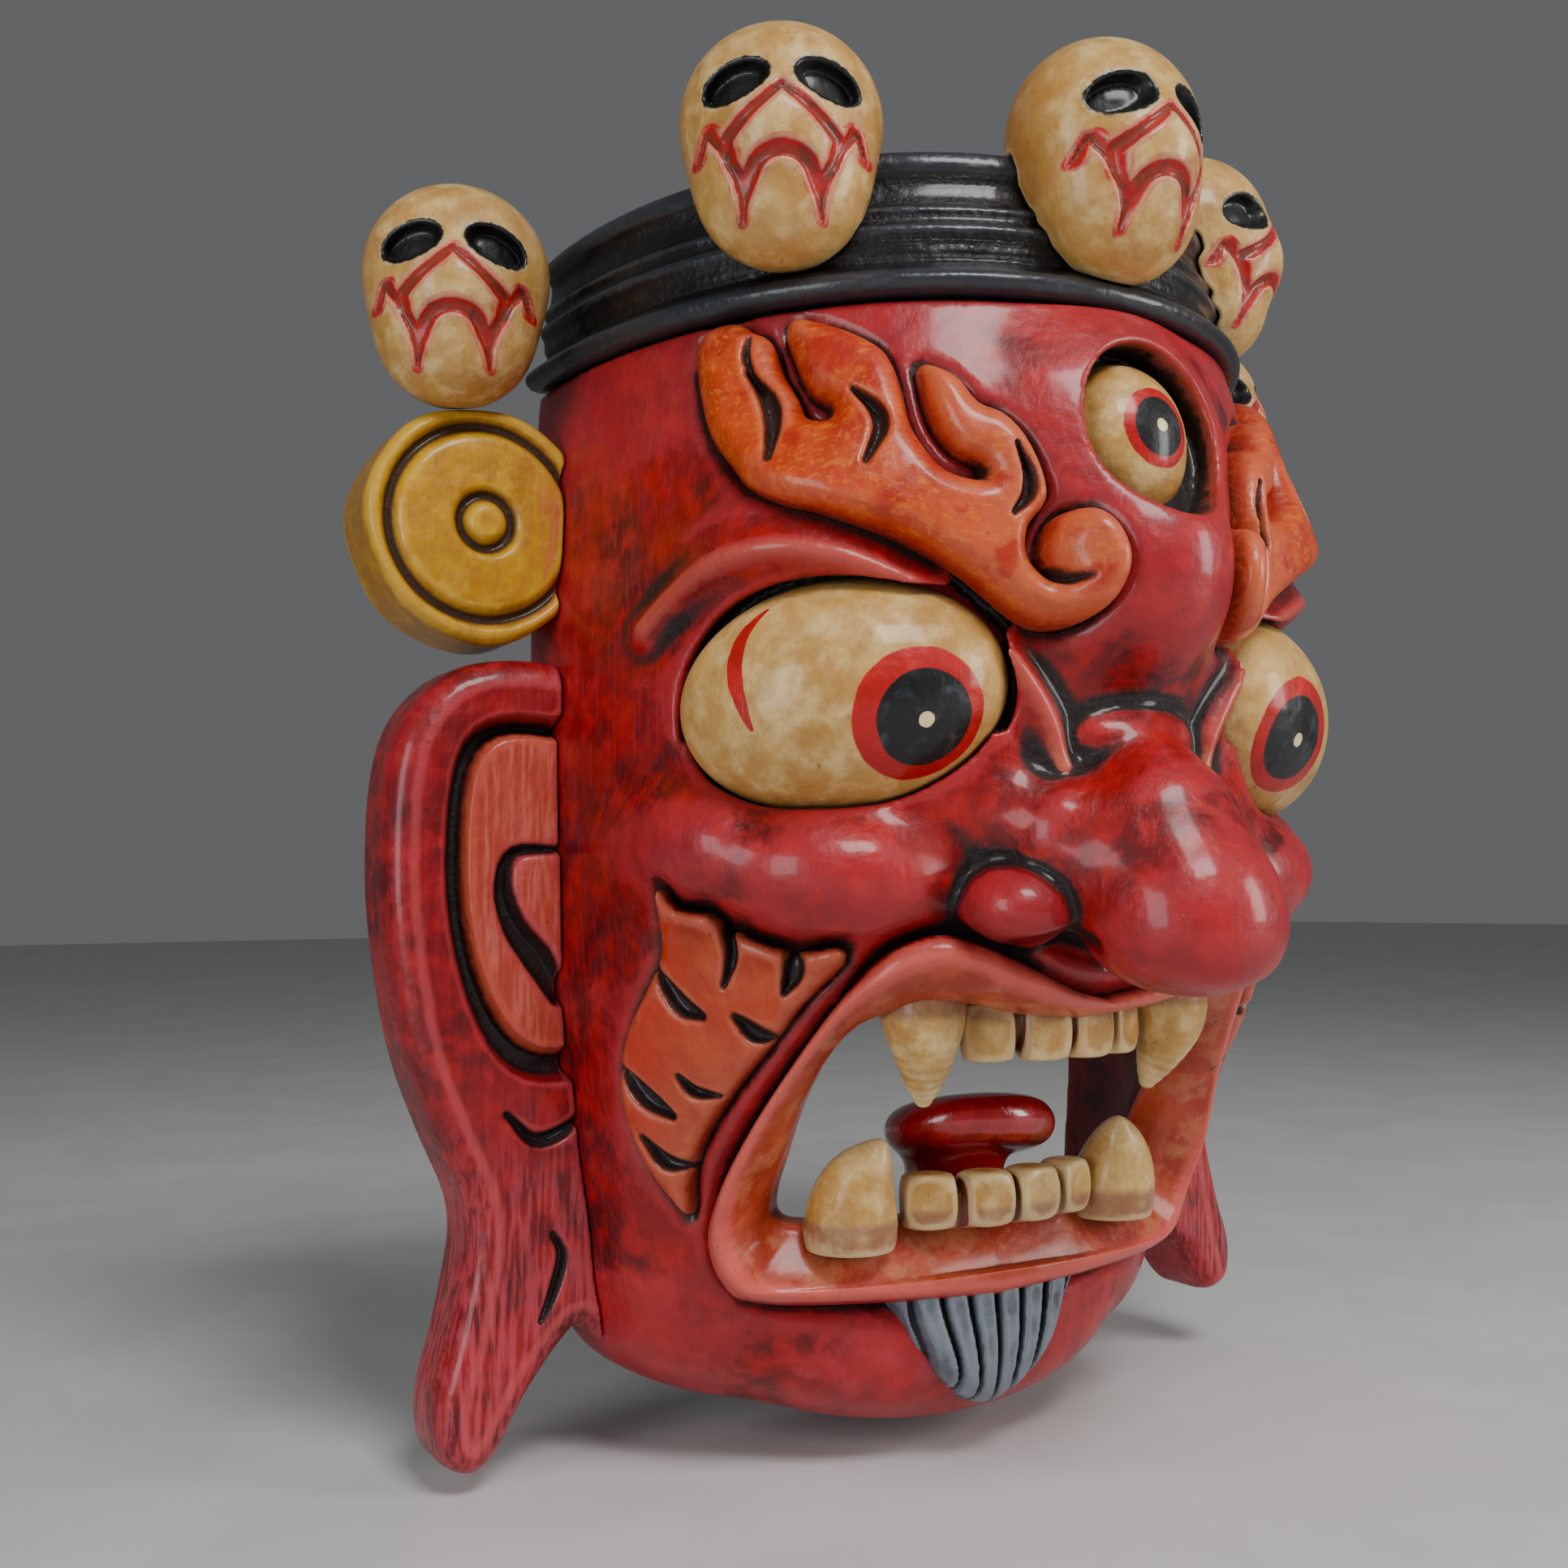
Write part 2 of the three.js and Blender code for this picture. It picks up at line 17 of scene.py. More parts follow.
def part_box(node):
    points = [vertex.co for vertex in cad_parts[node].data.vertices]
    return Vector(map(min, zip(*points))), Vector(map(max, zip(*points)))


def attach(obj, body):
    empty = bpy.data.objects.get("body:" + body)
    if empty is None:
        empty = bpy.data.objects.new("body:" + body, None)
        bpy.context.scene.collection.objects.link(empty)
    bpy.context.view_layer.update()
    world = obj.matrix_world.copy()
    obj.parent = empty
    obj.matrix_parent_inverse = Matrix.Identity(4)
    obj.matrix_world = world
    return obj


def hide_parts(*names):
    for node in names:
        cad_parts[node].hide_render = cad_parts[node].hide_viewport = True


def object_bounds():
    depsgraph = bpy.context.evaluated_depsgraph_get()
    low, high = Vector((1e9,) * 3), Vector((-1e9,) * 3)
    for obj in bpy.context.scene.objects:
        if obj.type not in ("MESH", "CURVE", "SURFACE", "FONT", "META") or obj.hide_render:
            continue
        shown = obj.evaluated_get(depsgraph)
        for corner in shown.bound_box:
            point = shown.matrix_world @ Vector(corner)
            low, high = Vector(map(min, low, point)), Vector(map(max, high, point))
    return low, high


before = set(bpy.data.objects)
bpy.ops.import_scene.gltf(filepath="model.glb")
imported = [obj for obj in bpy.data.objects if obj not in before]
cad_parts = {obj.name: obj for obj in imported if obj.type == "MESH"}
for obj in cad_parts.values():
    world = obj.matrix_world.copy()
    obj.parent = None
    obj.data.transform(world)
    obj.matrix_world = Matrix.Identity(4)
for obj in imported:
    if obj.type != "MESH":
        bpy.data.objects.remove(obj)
cad_low, cad_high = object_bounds()

# ---------------------------------------------------------------- the frame's sizes
FACE_TALL = 272.0  # chin to crown joint, in the mask's millimetres
CROWN_JOINT = 100.3  # underside of the crown block above the irises
GAP = 0.3  # clearance between pieces
face_low, face_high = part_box("face_shell")
crown_low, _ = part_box("crown_block")
UNIT = (face_high.z - face_low.z) / FACE_TALL  # metres for one millimetre of the mask
IRIS_HEIGHT = crown_low.z - CROWN_JOINT * UNIT  # the irises in the frame

FINE = 1.05  # grid step of the large pieces, mm
SMALL = 0.6  # grid step of the small pieces, mm
FACE_LIMIT = 190000  # triangles that one piece may keep


# ---------------------------------------------------------------- distances
def smooth_min(a, b, k):
    """Union of two fields with a fillet about k wide."""
    h = np.maximum(k - np.abs(a - b), 0.0) / k
    return np.minimum(a, b) - h * h * k * 0.25


def smooth_max(a, b, k):
    """What two fields share, with a fillet about k wide."""
    return -smooth_min(-a, -b, k)


def smooth_step(low, high, value):
    t = np.clip((value - low) / (high - low), 0.0, 1.0)
    return t * t * (3.0 - 2.0 * t)


def turn_back(p, turn):
    """Points in the axes of a shape that is turned about X, then Y, then Z, in degrees."""
    x, y, z = p
    for axis, degrees in ((2, turn[2]), (1, turn[1]), (0, turn[0])):
        if degrees:
            c, s = math.cos(math.radians(degrees)), math.sin(math.radians(degrees))
            if axis == 2:
                x, y = c * x + s * y, c * y - s * x
            elif axis == 1:
                z, x = c * z + s * x, c * x - s * z
            else:
                y, z = c * y + s * z, c * z - s * y
    return x, y, z


def ball(p, centre, radii, turn=(0, 0, 0)):
    """Ellipsoid."""
    x, y, z = turn_back([a - b for a, b in zip(p, centre)], turn)
    a, b, c = radii
    k0 = np.sqrt((x / a) ** 2 + (y / b) ** 2 + (z / c) ** 2)
    k1 = np.sqrt((x / a**2) ** 2 + (y / b**2) ** 2 + (z / c**2) ** 2)
    return k0 * (k0 - 1.0) / np.maximum(k1, 1e-6)


def strand(p, points, radii):
    """Round bar through points, with a radius at each point. Works in 2 or 3 dimensions."""
    best = None
    for i in range(len(points) - 1):
        a, b = points[i], points[i + 1]
        along = [v - u for u, v in zip(a, b)]
        size = sum(d * d for d in along) + 1e-9
        t = sum((q - u) * d for q, u, d in zip(p, a, along)) / size
        t = np.clip(t, 0.0, 1.0)
        away = np.sqrt(sum((q - u - d * t) ** 2 for q, u, d in zip(p, a, along)))
        reach = away - (radii[i] + (radii[i + 1] - radii[i]) * t)
        best = reach if best is None else np.minimum(best, reach)
    return best


def curve(points, steps=6, closed=False):
    """Smooth curve through points (Catmull-Rom), as a list of tuples."""
    pts = [np.array(q, float) for q in points]
    count = len(pts)
    made = []
    for i in range(count if closed else count - 1):
        b, c = pts[i], pts[(i + 1) % count]
        a = pts[i - 1] if closed or i > 0 else 2 * b - c
        d = pts[(i + 2) % count] if closed or i + 2 < count else 2 * c - b
        for k in range(steps):
            t = k / steps
            bend = (2 * a - 5 * b + 4 * c - d) * t**2 + (3 * b - a - 3 * c + d) * t**3
            made.append(0.5 * (2 * b + (c - a) * t + bend))
    if not closed:
        made.append(pts[-1])
    return [tuple(float(v) for v in q) for q in made]


def taper(points, wide, ends=0.3):
    """Radii along a curve: wide in the middle, ends times that at both ends."""
    t = np.linspace(0, 1, len(points))
    return list(wide * (ends + (1 - ends) * np.sin(np.pi * t)))


FAR = 60.0  # stands for any larger distance
OUTLINE_REACH = 12.0  # distances to an outline are exact this far outside its box


def outline(u, v, points):
    """Signed distance to a closed 2-D outline, negative inside; FAR well outside its box."""
    ring = np.array(points, float)
    low, high = ring.min(0) - OUTLINE_REACH, ring.max(0) + OUTLINE_REACH
    near = (u > low[0]) & (u < high[0]) & (v > low[1]) & (v < high[1])
    result = np.full(u.shape, FAR, np.float32)
    if not near.any():
        return result
    a, b = u[near], v[near]
    best = np.full(a.shape, 1e9, np.float32)
    inside = np.ones(a.shape, bool)
    for i in range(len(ring)):
        p, q = ring[i], ring[i - 1]
        e = q - p
        wu, wv = a - p[0], b - p[1]
        t = np.clip((wu * e[0] + wv * e[1]) / (e @ e + 1e-12), 0, 1)
        best = np.minimum(best, (wu - e[0] * t) ** 2 + (wv - e[1] * t) ** 2)
        rising, falling, left = b >= p[1], b < q[1], e[0] * wv > e[1] * wu
        inside ^= (rising & falling & left) | (~rising & ~falling & ~left)
    result[near] = np.where(inside, 1.0, -1.0) * np.sqrt(best)
    return result


# ---------------------------------------------------------------- the head
WALL = 14.0
HOLLOW_TOP = 88.0
ROUND = 118.0  # millimetres along the surface for one radian round the head
CHIN = -172.0
JAW = -118.0
JAW_ROUNDING = 6.0  # the head starts to round in this far below the jaw
# level, half width, depth, power of the level's superellipse
LEVELS = np.array([
    (CHIN, 92, 66, 2.5), (-140, 92, 63, 2.5), (JAW, 93, 69, 2.5), (-100, 95, 83, 2.5),
    (-75, 96.5, 102, 2.5), (-60, 97.5, 111, 2.5), (-30, 98, 121, 2.5), (0, 98.5, 127, 2.5),
    (40, 98.5, 131, 2.45), (75, 97.5, 129, 2.3), (100, 96, 123, 2.1), (138, 91, 113, 2.1),
    (170, 88, 108, 2.1),
])


def smooth_levels(column):
    """One column of LEVELS at each millimetre of height, averaged over about 11 mm up and down."""
    levels = np.arange(CHIN - 10, 171.0)
    raw = np.interp(levels, LEVELS[:, 0], LEVELS[:, column])
    window = np.hanning(23)
    padded = np.pad(raw, 11, mode="edge")
    return levels, np.convolve(padded, window / window.sum(), mode="valid")


WIDE_AT, DEEP_AT, POWER_AT = (smooth_levels(column) for column in (1, 2, 3))


def level_size(z):
    """Half width and depth of the head at a height."""
    return np.interp(z, *WIDE_AT).astype(np.float32), np.interp(z, *DEEP_AT).astype(np.float32)


def head(p, grow=0.0):
    """The head's plain form: a superellipse at each level, rounding into the chin."""
    x, y, z = p
    wide, deep = level_size(z)
    down = np.maximum(JAW - JAW_ROUNDING - z, 0.0)
    drop = JAW - JAW_ROUNDING - CHIN + grow
    power = np.interp(z, *POWER_AT).astype(np.float32)
    k = ((np.abs(x) / (wide + grow)) ** power + (np.abs(y) / (deep + grow)) ** power
         + (down / drop) ** 3.0) ** (1 / power)
    reach = np.sqrt(x * x + y * y + down * down)
    return (k - 1.0) / np.maximum(k, 1e-3) * reach * 0.93


def round_place(p, hand=0):
    """Millimetres round the head from its middle, and height. Hand 0 folds both sides together."""
    x, y, z = p
    wide, deep = level_size(z)
    across = np.abs(x) if hand == 0 else hand * x
    return ROUND * np.arctan2(across / wide, -y / deep), z


# ---- carved outlines, as (millimetres round from the middle, height)
BROW = [
    (106.5, 62), (112, 70), (115, 81), (116, 91.5), (112.5, 97.5), (105, 98), (100.5, 95),
    (96, 91.5), (93.5, 83), (90, 76), (88, 71), (83.5, 70), (83, 73), (88, 78), (91, 86.5),
    (92.5, 93), (90, 96.5), (84, 95), (75.5, 91), (69.5, 86.5), (67, 81.5), (65.5, 74.5), (64, 66),
    (59, 58), (54, 55.5), (48.5, 55), (48.5, 58), (54, 61), (58.5, 66.5), (61, 74.5), (61, 82),
    (55.5, 81), (51.5, 78), (48, 73), (42.5, 70.5), (37.5, 65), (34, 56.5), (33.5, 49.5),
    (37.5, 44), (38, 38.5), (36, 35), (32.5, 32.5), (34.5, 38), (32.5, 44), (29.5, 47),
    (24.5, 48), (20.5, 45), (18, 38.5), (18, 32), (20.5, 26), (26, 22.5), (34, 22.5), (42, 26.5),
    (51.5, 33), (60, 37.5), (68.5, 41.5), (78, 45), (86.5, 48), (94, 50.5), (101, 55),
]
BROW_CUTS = [
    ([(101.5, 83), (97, 76), (95.5, 69.5), (96, 60)], 2.1),
    ([(101, 92), (101.5, 86), (98.5, 78)], 0.9),
    ([(77.5, 75.5), (73, 70.5), (72, 65.5), (75.5, 57.5)], 1.8),
    ([(41, 62), (38.5, 55.5), (39, 50.5), (42.5, 46.5)], 1.8),
    ([(33, 34.5), (30.5, 32), (27, 32)], 1.2),
]
WHISKER = [
    (119, -34), (114.5, -38.5), (106.5, -40), (102.5, -43.5), (99, -44.5), (93.5, -46.5), (85, -48.5),
    (75.5, -47.5), (74, -51.5), (82, -60), (88, -69.5), (95, -80), (101, -92), (103, -101.5),
    (101.5, -112.5), (109.5, -108), (121, -98.5), (129, -88.5), (132.5, -77.5), (130.5, -67),
    (125.5, -58), (121.5, -50), (121, -42),
]
WHISKER_CUTS = [
    ([(103.5, -41.5), (101, -48.5), (102, -56)], 1.6),
    ([(87, -46), (85.5, -52.5), (87, -57.5)], 2.4),
    ([(122.5, -52), (113.5, -60.5), (106.5, -63.5)], 2.1),
    ([(98.5, -63), (92.5, -67), (87, -68)], 1.9),
    ([(132, -76), (121, -83), (110.5, -87.5)], 2.3),
    ([(111.5, -77.5), (106, -81), (98.5, -82)], 1.2),
    ([(120, -93), (111, -98.5), (100.5, -100)], 1.8),
]
LIP_OUT = [
    (0, -60.5), (14, -57.5), (29, -51.5), (41, -47), (52, -45), (63, -48.5), (71.5, -57), (78.5, -67.5),
    (85, -80.5), (90, -94), (93, -107), (92.5, -119), (86.5, -129.5), (76, -134.5), (40, -136.5), (0, -138.5),
]
LIP_EDGE = [
    (0, -62), (14, -60), (31, -55), (43, -50.5), (55, -50), (66, -55.5), (74, -62.5), (81, -73.5),
    (86.5, -87), (89, -103.5), (86.5, -118), (80, -127), (71, -131), (38, -132.5), (0, -135),
]
MOUTH = [
    (0, -65.5), (20, -64), (38, -61), (52, -60.5), (61, -63), (68, -66), (73.5, -73), (77.5, -85),
    (79, -98.5), (80, -109), (77, -114.5), (66, -116), (40, -116.5), (0, -118),
]
LID = [
    (131, 27), (124, 32), (113, 37), (104, 39.5), (93.5, 40), (85.5, 38.5), (77, 36), (64, 30.5),
    (51.5, 23.5), (39.5, 14.5), (29, 2.5), (25, -7),
]
GOATEE = [(0, -132), (27, -132), (24, -143), (17, -154), (8, -162.5), (0, -166.5)]


def mirrored(half):
    """Closed outline from its half: the middle points first and last."""
    return curve(half, 4) + [(-u, v) for u, v in reversed(curve(half, 4))]


BROW_LINE = curve(BROW, 3, closed=True)
WHISKER_LINE = curve(WHISKER, 3, closed=True)
LIP_OUT_LINE = mirrored(LIP_OUT)
LIP_EDGE_LINE = mirrored(LIP_EDGE)
MOUTH_LINE = mirrored(MOUTH)
GOATEE_LINE = mirrored(GOATEE)
LID_LINE = curve(LID, 4)

# ---- eyes
EYE = dict(centre=(60.0, -97.5, 9.0), radii=(37.5, 24.0, 26.5), turn=(0, 9, 37))
THIRD_EYE = dict(centre=(0.0, -121.0, 67.0), radii=(17.5, 17.5, 20.5))
THIRD_SEAT_HEIGHT = 68.5
THIRD_SEAT_FRONT = -128.0
# depths below the head's plain form: a seat's floor, and the back of the ball in it
EYE_SEAT, EYE_BACK = 6.5, 6.0
THIRD_SEAT, THIRD_BACK = 8.0, 7.5


def sided(place, hand):
    """A shape's place on one side: mirrored in x, with its turns about Y and Z reversed."""
    x, y, z = place["centre"]
    rx, ry, rz = place.get("turn", (0, 0, 0))
    return (hand * x, y, z), place["radii"], (rx, hand * ry, hand * rz)


def eye_ball(p, hand):
    return ball(p, *sided(EYE, hand))


def third_ball(p):
    return ball(p, THIRD_EYE["centre"], THIRD_EYE["radii"])


def third_rim(x, z):
    """Distance outside the oval rim of the third eye's seat."""
    half_wide, half_tall, middle = 19.0, 21.5, THIRD_SEAT_HEIGHT
    return (np.sqrt((x / half_wide) ** 2 + ((z - middle) / half_tall) ** 2) - 1.0) * half_wide


def third_recess(p):
    """The sunk seat of the third eye, deeper at its top."""
    x, y, z = p
    return np.maximum(third_rim(x, z), y - THIRD_SEAT_FRONT - 0.3 * (z - THIRD_SEAT_HEIGHT))


# ---- the face: swellings as (centre, radii, turn, fillet), on the midline or mirrored to both sides
FOREHEAD = [
    ((0, -117, 38), (27, 34, 30), (0, 0, 0), 12),
    ((0, -114, 65), (31, 27, 35), (0, 0, 0), 12),
    ((55, -90, 48), (36, 25, 18), (0, 12, 33), 12),
]
MUZZLE = ((22, -95, -54), (36, 22, 11), (0, -10, 12), 8)
CHEEKS = [
    ((57, -89, -31), (31, 27, 18.5), (0, -4, 26), 6),
    ((82, -58, -24), (16, 34, 16), (0, 0, 8), 10),
    MUZZLE,
    ((0, -42, -152), (48, 24, 20), (0, 0, 0), 14),
]
BRIDGE_ROLL = ((0, -121.5, -1), (18.5, 13.5, 9), (0, 0, 0), 2.5)
NOSE_TIP = ((0, -144, -44), (20.5, 19.3, 16.5), (0, 0, 0), 6)
NOSE_WING = ((30, -120, -39.5), (13, 14.5, 10.5), (0, -8, 14), 2.2)
NOSTRIL = ((26, -129, -49), (10, 10, 5), (0, 12, 10))
LIP_DEEP = 13.5  # how far the lip reaches back
RIB = 8.2  # width of a rib at the top of the beard


def swell(d, p, centre, radii, turn, fillet):
    return smooth_min(d, ball(p, centre, radii, turn), fillet)


def lip_height(across, z):
    """How far the lip stands off the head, with the distances to its outer outline, edge and hole."""
    out = outline(across, z, LIP_OUT_LINE)
    edge = outline(across, z, LIP_EDGE_LINE)
    hole = outline(across, z, MOUTH_LINE)
    low = smooth_step(-60, -120, z)
    crest = 3.5 + 5.5 * low
    rise = crest * np.sqrt(1 - (1 - np.clip(-out / 5.0, 0, 1)) ** 2)
    inward = np.clip(-edge / np.maximum(-edge + np.maximum(hole, 0), 1e-3), 0, 1)
    fall = (6.0 + 7.0 * low) * inward**1.2
    return np.where(edge < 0, rise - fall, rise), out, edge, hole


def face_surface(p):
    """The carved face without the pieces on it, solid to the back."""
    x, y, z = p
    q = (np.abs(x), y, z)
    s, _ = round_place(q)
    d = head(p)
    for form in FOREHEAD:
        d = swell(d, q, *form)
    # lid ridge, with a shallow groove beside it
    ridge = strand((s, z), LID_LINE, [0.0] * len(LID_LINE))
    d = d - 3.0 * np.exp(-((ridge / 3.3) ** 2)) + 0.6 * np.exp(-(((ridge - 7.0) / 3.0) ** 2))
    for form in CHEEKS:
        d = swell(d, q, *form)
    d = smooth_min(d, nose_form(q), 6)
    d = swell(d, q, *BRIDGE_ROLL)
    d = swell(d, q, *NOSE_WING)
    return smooth_max(d, -ball(q, *NOSTRIL), 2.5)


def nose_form(q):
    """The ridge of the nose, its tip and the flanks that run out under the eyes."""
    ridge = strand(q, [(0, -119, -6), (0, -134, -22), (0, -141, -38)], [15, 18, 20])
    flank = strand(q, [(36, -108, -11), (19, -123, -23), (0, -139, -38)], [8, 14, 18])
    return smooth_min(swell(ridge, q, *NOSE_TIP), flank, 8)


def face_field(p):
    """The face shell: the carved face with its seats, the mouth opening and the hollow behind."""
    x, y, z = p
    q = (np.abs(x), y, z)
    s, _ = round_place(q)
    d = face_surface(p)
    plain = head(p)
    eye_gap = np.where(z > 0, 2.6, 0.8)  # wider above the eye, under the lid
    d = smooth_max(d, -np.maximum(eye_ball(q, 1) - eye_gap, -(plain + EYE_SEAT)), 1.5)
    d = smooth_max(d, -np.maximum(third_recess(p), -(plain + THIRD_SEAT)), 2.0)
    for line in (BROW_LINE, WHISKER_LINE):
        d = trench(d, outline(s, z, line), 1.6, 2.2, 1.2)
    _, out, _, hole = lip_height(s, z)
    d = trench(d, out, 3.2, 3.0, 1.5)
    d = smooth_max(d, -(hole - 4.5), 1.0)
    hollow = np.maximum(head(p, -WALL), z - HOLLOW_TOP)
    d = smooth_max(d, -hollow, 4)
    d = np.maximum(d, z - (CROWN_JOINT - 0.6))
    return smooth_max(d, y + 0.2, 1.5)


def trench(d, edge, deep, wide, bed):
    """A groove along an outline, with the ground inside the outline lowered as a bed."""
    return d + deep * np.exp(-((edge / wide) ** 2)) + bed * (edge < 0)


def relief_field(p, line, cuts, proud, hand, bevel):
    """Raised carving under an outline: domed, with gouged cuts."""
    s, z = round_place(p, hand)
    under = face_surface(p)
    edge = outline(s, z, line)
    inside = np.clip(-edge / bevel, 0, 1)
    height = proud * np.sqrt(np.maximum(1 - (1 - inside) ** 2, 0))
    for points, wide in cuts:
        path = curve(points, 5)
        groove = strand((s, z), path, taper(path, wide, 0.25))
        height = height - 3.4 * smooth_step(0.9, -1.4, groove)
    d = under - height
    d = smooth_max(d, edge, 0.8)
    return smooth_max(d, -(under + 3.0), 0.5)


def brow_field(hand):
    return lambda p: relief_field(p, BROW_LINE, BROW_CUTS, 6.5, hand, 6.0)


def whisker_field(hand):
    return lambda p: relief_field(p, WHISKER_LINE, WHISKER_CUTS, 4.0, hand, 4.5)


def lip_field(p):
    """The rim round the open mouth, reaching back through the wall."""
    q = (np.abs(p[0]), p[1], p[2])
    s, z = round_place(q)
    height, out, _, hole = lip_height(s, z)
    base = swell(head(p), q, *MUZZLE)
    d = base - height
    d = smooth_max(d, out, 1.5)
    d = smooth_max(d, -hole, 2.0)
    return smooth_max(d, -(base + LIP_DEEP), 2.0)


def beard_groove(x, z):
    """Distance to the nearest of the grooves that fan out up the beard."""
    fan = x / (0.55 + 0.45 * smooth_step(-168, -132, z))
    return np.abs((fan / RIB + 0.5) % 1.0 - 0.5) * RIB


def goatee_field(p):
    x, _, z = p
    edge = outline(x, z, GOATEE_LINE)
    under = face_surface(p)
    inside = np.clip(-edge / 5.0, 0, 1)
    height = 5.5 * np.sqrt(np.maximum(1 - (1 - inside) ** 2, 0))
    height = height - 2.6 * smooth_step(1.7, 0.3, beard_groove(x, z))
    d = smooth_max(under - height, edge, 0.8)
    return smooth_max(d, -(under + 3.0), 0.5)


def eye_field(hand):
    return lambda p: smooth_max(eye_ball(p, hand), -(head(p) + EYE_BACK), 1.0)


def third_eye_field(p):
    return smooth_max(third_ball(p), -(head(p) + THIRD_BACK), 1.0)


# ---- teeth and tongue
def fang_field(root, bend, tip, wide):
    """A stout curved tooth."""
    path = curve([root, bend, tip], 6)
    radii = [wide * (1 - 0.16 * t - 0.62 * t**2.2) for t in np.linspace(0, 1, len(path))]
    return lambda p: strand(p, path, radii)


def tooth_form(p, centre, half, turn):
    """One incisor: a block whose corners are rounded off by an ellipsoid."""
    ellipsoid = ball(p, centre, half, (0, 0, turn))
    x, y, z = turn_back([a - b for a, b in zip(p, centre)], (0, 0, turn))
    sides = np.maximum(np.abs(x) - half[0], np.abs(y) - half[1])
    block = np.maximum(sides, np.abs(z) - half[2])
    return smooth_max(block, ellipsoid - 2.5, 2)


def teeth_field(centres, front, curve_back, root, edge, wide, thick):
    """A row of incisors on an arch, with the gum bar that joins them."""
    def field(p):
        x, y, z = p
        best = None
        for c in centres:
            depth = front + curve_back * c * c + thick / 2
            turn = math.degrees(math.atan(2 * curve_back * c))
            half = (wide / 2, thick / 2, abs(root - edge) / 2)
            tooth = tooth_form(p, (c, depth, (root + edge) / 2), half, turn)
            best = tooth if best is None else np.minimum(best, tooth)
        gum_x = np.clip(x, min(centres), max(centres))
        gum_y = front + curve_back * gum_x**2 + thick * 0.62
        middle = root + (edge - root) * 0.35
        gum = np.sqrt(((x - gum_x) / 1.3) ** 2 + (y - gum_y) ** 2 + ((z - middle) * 0.8) ** 2) - thick * 0.42
        return smooth_min(best, gum, 1.0)

    return field


def tongue_field(p):
    """A slab with flattened faces, tipped up at the front, on a root."""
    centre, turn = (1, -59, -96.5), (-16, 5, 0)
    slab = ball(p, centre, (23, 21, 10.5), turn)
    _, _, height = turn_back((p[0], p[1] - centre[1], p[2] - centre[2]), turn)
    flat = np.abs(height) - 6.8
    root = strand(p, [(0, -54, -102), (0, -52, -116)], [13, 13])
    return smooth_min(smooth_max(slab, flat, 3), root, 4)


# ---- crown
# mouldings round the band: height, how far they stand out, and width
MOULDINGS = [(104, 4.2, 3.6), (110, -1.4, 1.3), (117.5, 1.8, 2.0), (122.5, 1.5, 1.6)]
CROWN_TOP = 137.8
POCKET = dict(height=119.0, half_wide=13.0, half_tall=15.0, deep=6.0)  # for the hanger, in the back


def crown_field(p):
    x, y, z = p
    d = head(p, 0.5)
    for height, proud, wide in MOULDINGS:
        d = d - proud * np.exp(-(((z - height) / wide) ** 2))
    d = d - 2.4 * smooth_step(130, 134, z)
    d = smooth_max(d, z - CROWN_TOP, 2.0)
    d = smooth_max(d, CROWN_JOINT + GAP - z, 1.0)
    d = smooth_max(d, y + 0.2, 1.0)
    sides = np.maximum(np.abs(x) - POCKET["half_wide"], np.abs(z - POCKET["height"]) - POCKET["half_tall"])
    return np.maximum(d, -np.maximum(sides, -POCKET["deep"] - y))


# ---- skulls
# centre, degrees that it looks aside, size
SKULLS = {
    "skull_far_left": ((-126, -21, 116), -20, 0.98),
    "skull_left": ((-71, -91, 138), -29, 1.0),
    "skull_centre": ((0, -124, 136.5), 0, 1.0),
    "skull_right": ((65, -86, 138), 29, 0.97),
    "skull_far_right": ((126, -21, 116), 20, 0.98),
}
# painted strokes of one half of a skull's face: points and radii
SKULL_STROKES = [
    ([(-12.2, -5.8), (-7.5, -1.8), (-2.2, 2.6), (0, 4.6)], [1.7, 1.3, 1.2, 0.7]),
    ([(-12.4, -5.8), (-11.2, -11.5), (-8.6, -16.5), (-8.8, -22.8)], [1.2, 1.1, 1.9, 0.3]),
    ([(-8.4, -17), (-6, -12.3), (-3, -10.4), (0, -9.9)], [1.9, 1.8, 1.6, 1.6]),
    ([(-11.4, -12), (-13.3, -7.6), (-15.4, -4.6), (-16.8, -3.2), (-18.8, -8.2)], [1.0, 1.0, 1.0, 0.8, 0.5]),
]
SOCKET = ((10.3, 0, 7.2), (7.2, 50, 4.6), (0, 18, 0))
FLARE = [(11.6, -11), (13.3, -6.5), (16.5, -3.6)]  # dark fork where two strokes meet
SKULL_FORMS = [
    ((0, -2, -14), (18.5, 15, 16), (0, 0, 0), 12),
    ((0, -15, -3), (9, 6.5, 8), (0, 0, 0), 8),
]


def skull_local(p, name):
    """Points in a skull's own axes and size, looking along -y."""
    centre, looks, size = SKULLS[name]
    x, y, z = turn_back([a - b for a, b in zip(p, centre)], (0, 0, looks))
    return x / size, y / size, z / size, size


def skull_marks(x, z):
    """Signed distances on the skull's front: painted strokes and eye holes."""
    ax = np.abs(x)
    strokes = None
    for points, radii in SKULL_STROKES:
        path = [(-u, v) for u, v in curve(points, 3)]
        wide = np.interp(np.linspace(0, 1, len(path)), np.linspace(0, 1, len(radii)), radii)
        one = strand((ax, z), path, list(wide))
        strokes = one if strokes is None else np.minimum(strokes, one)
    return strokes, ball((ax, np.zeros_like(z), z), *SOCKET)


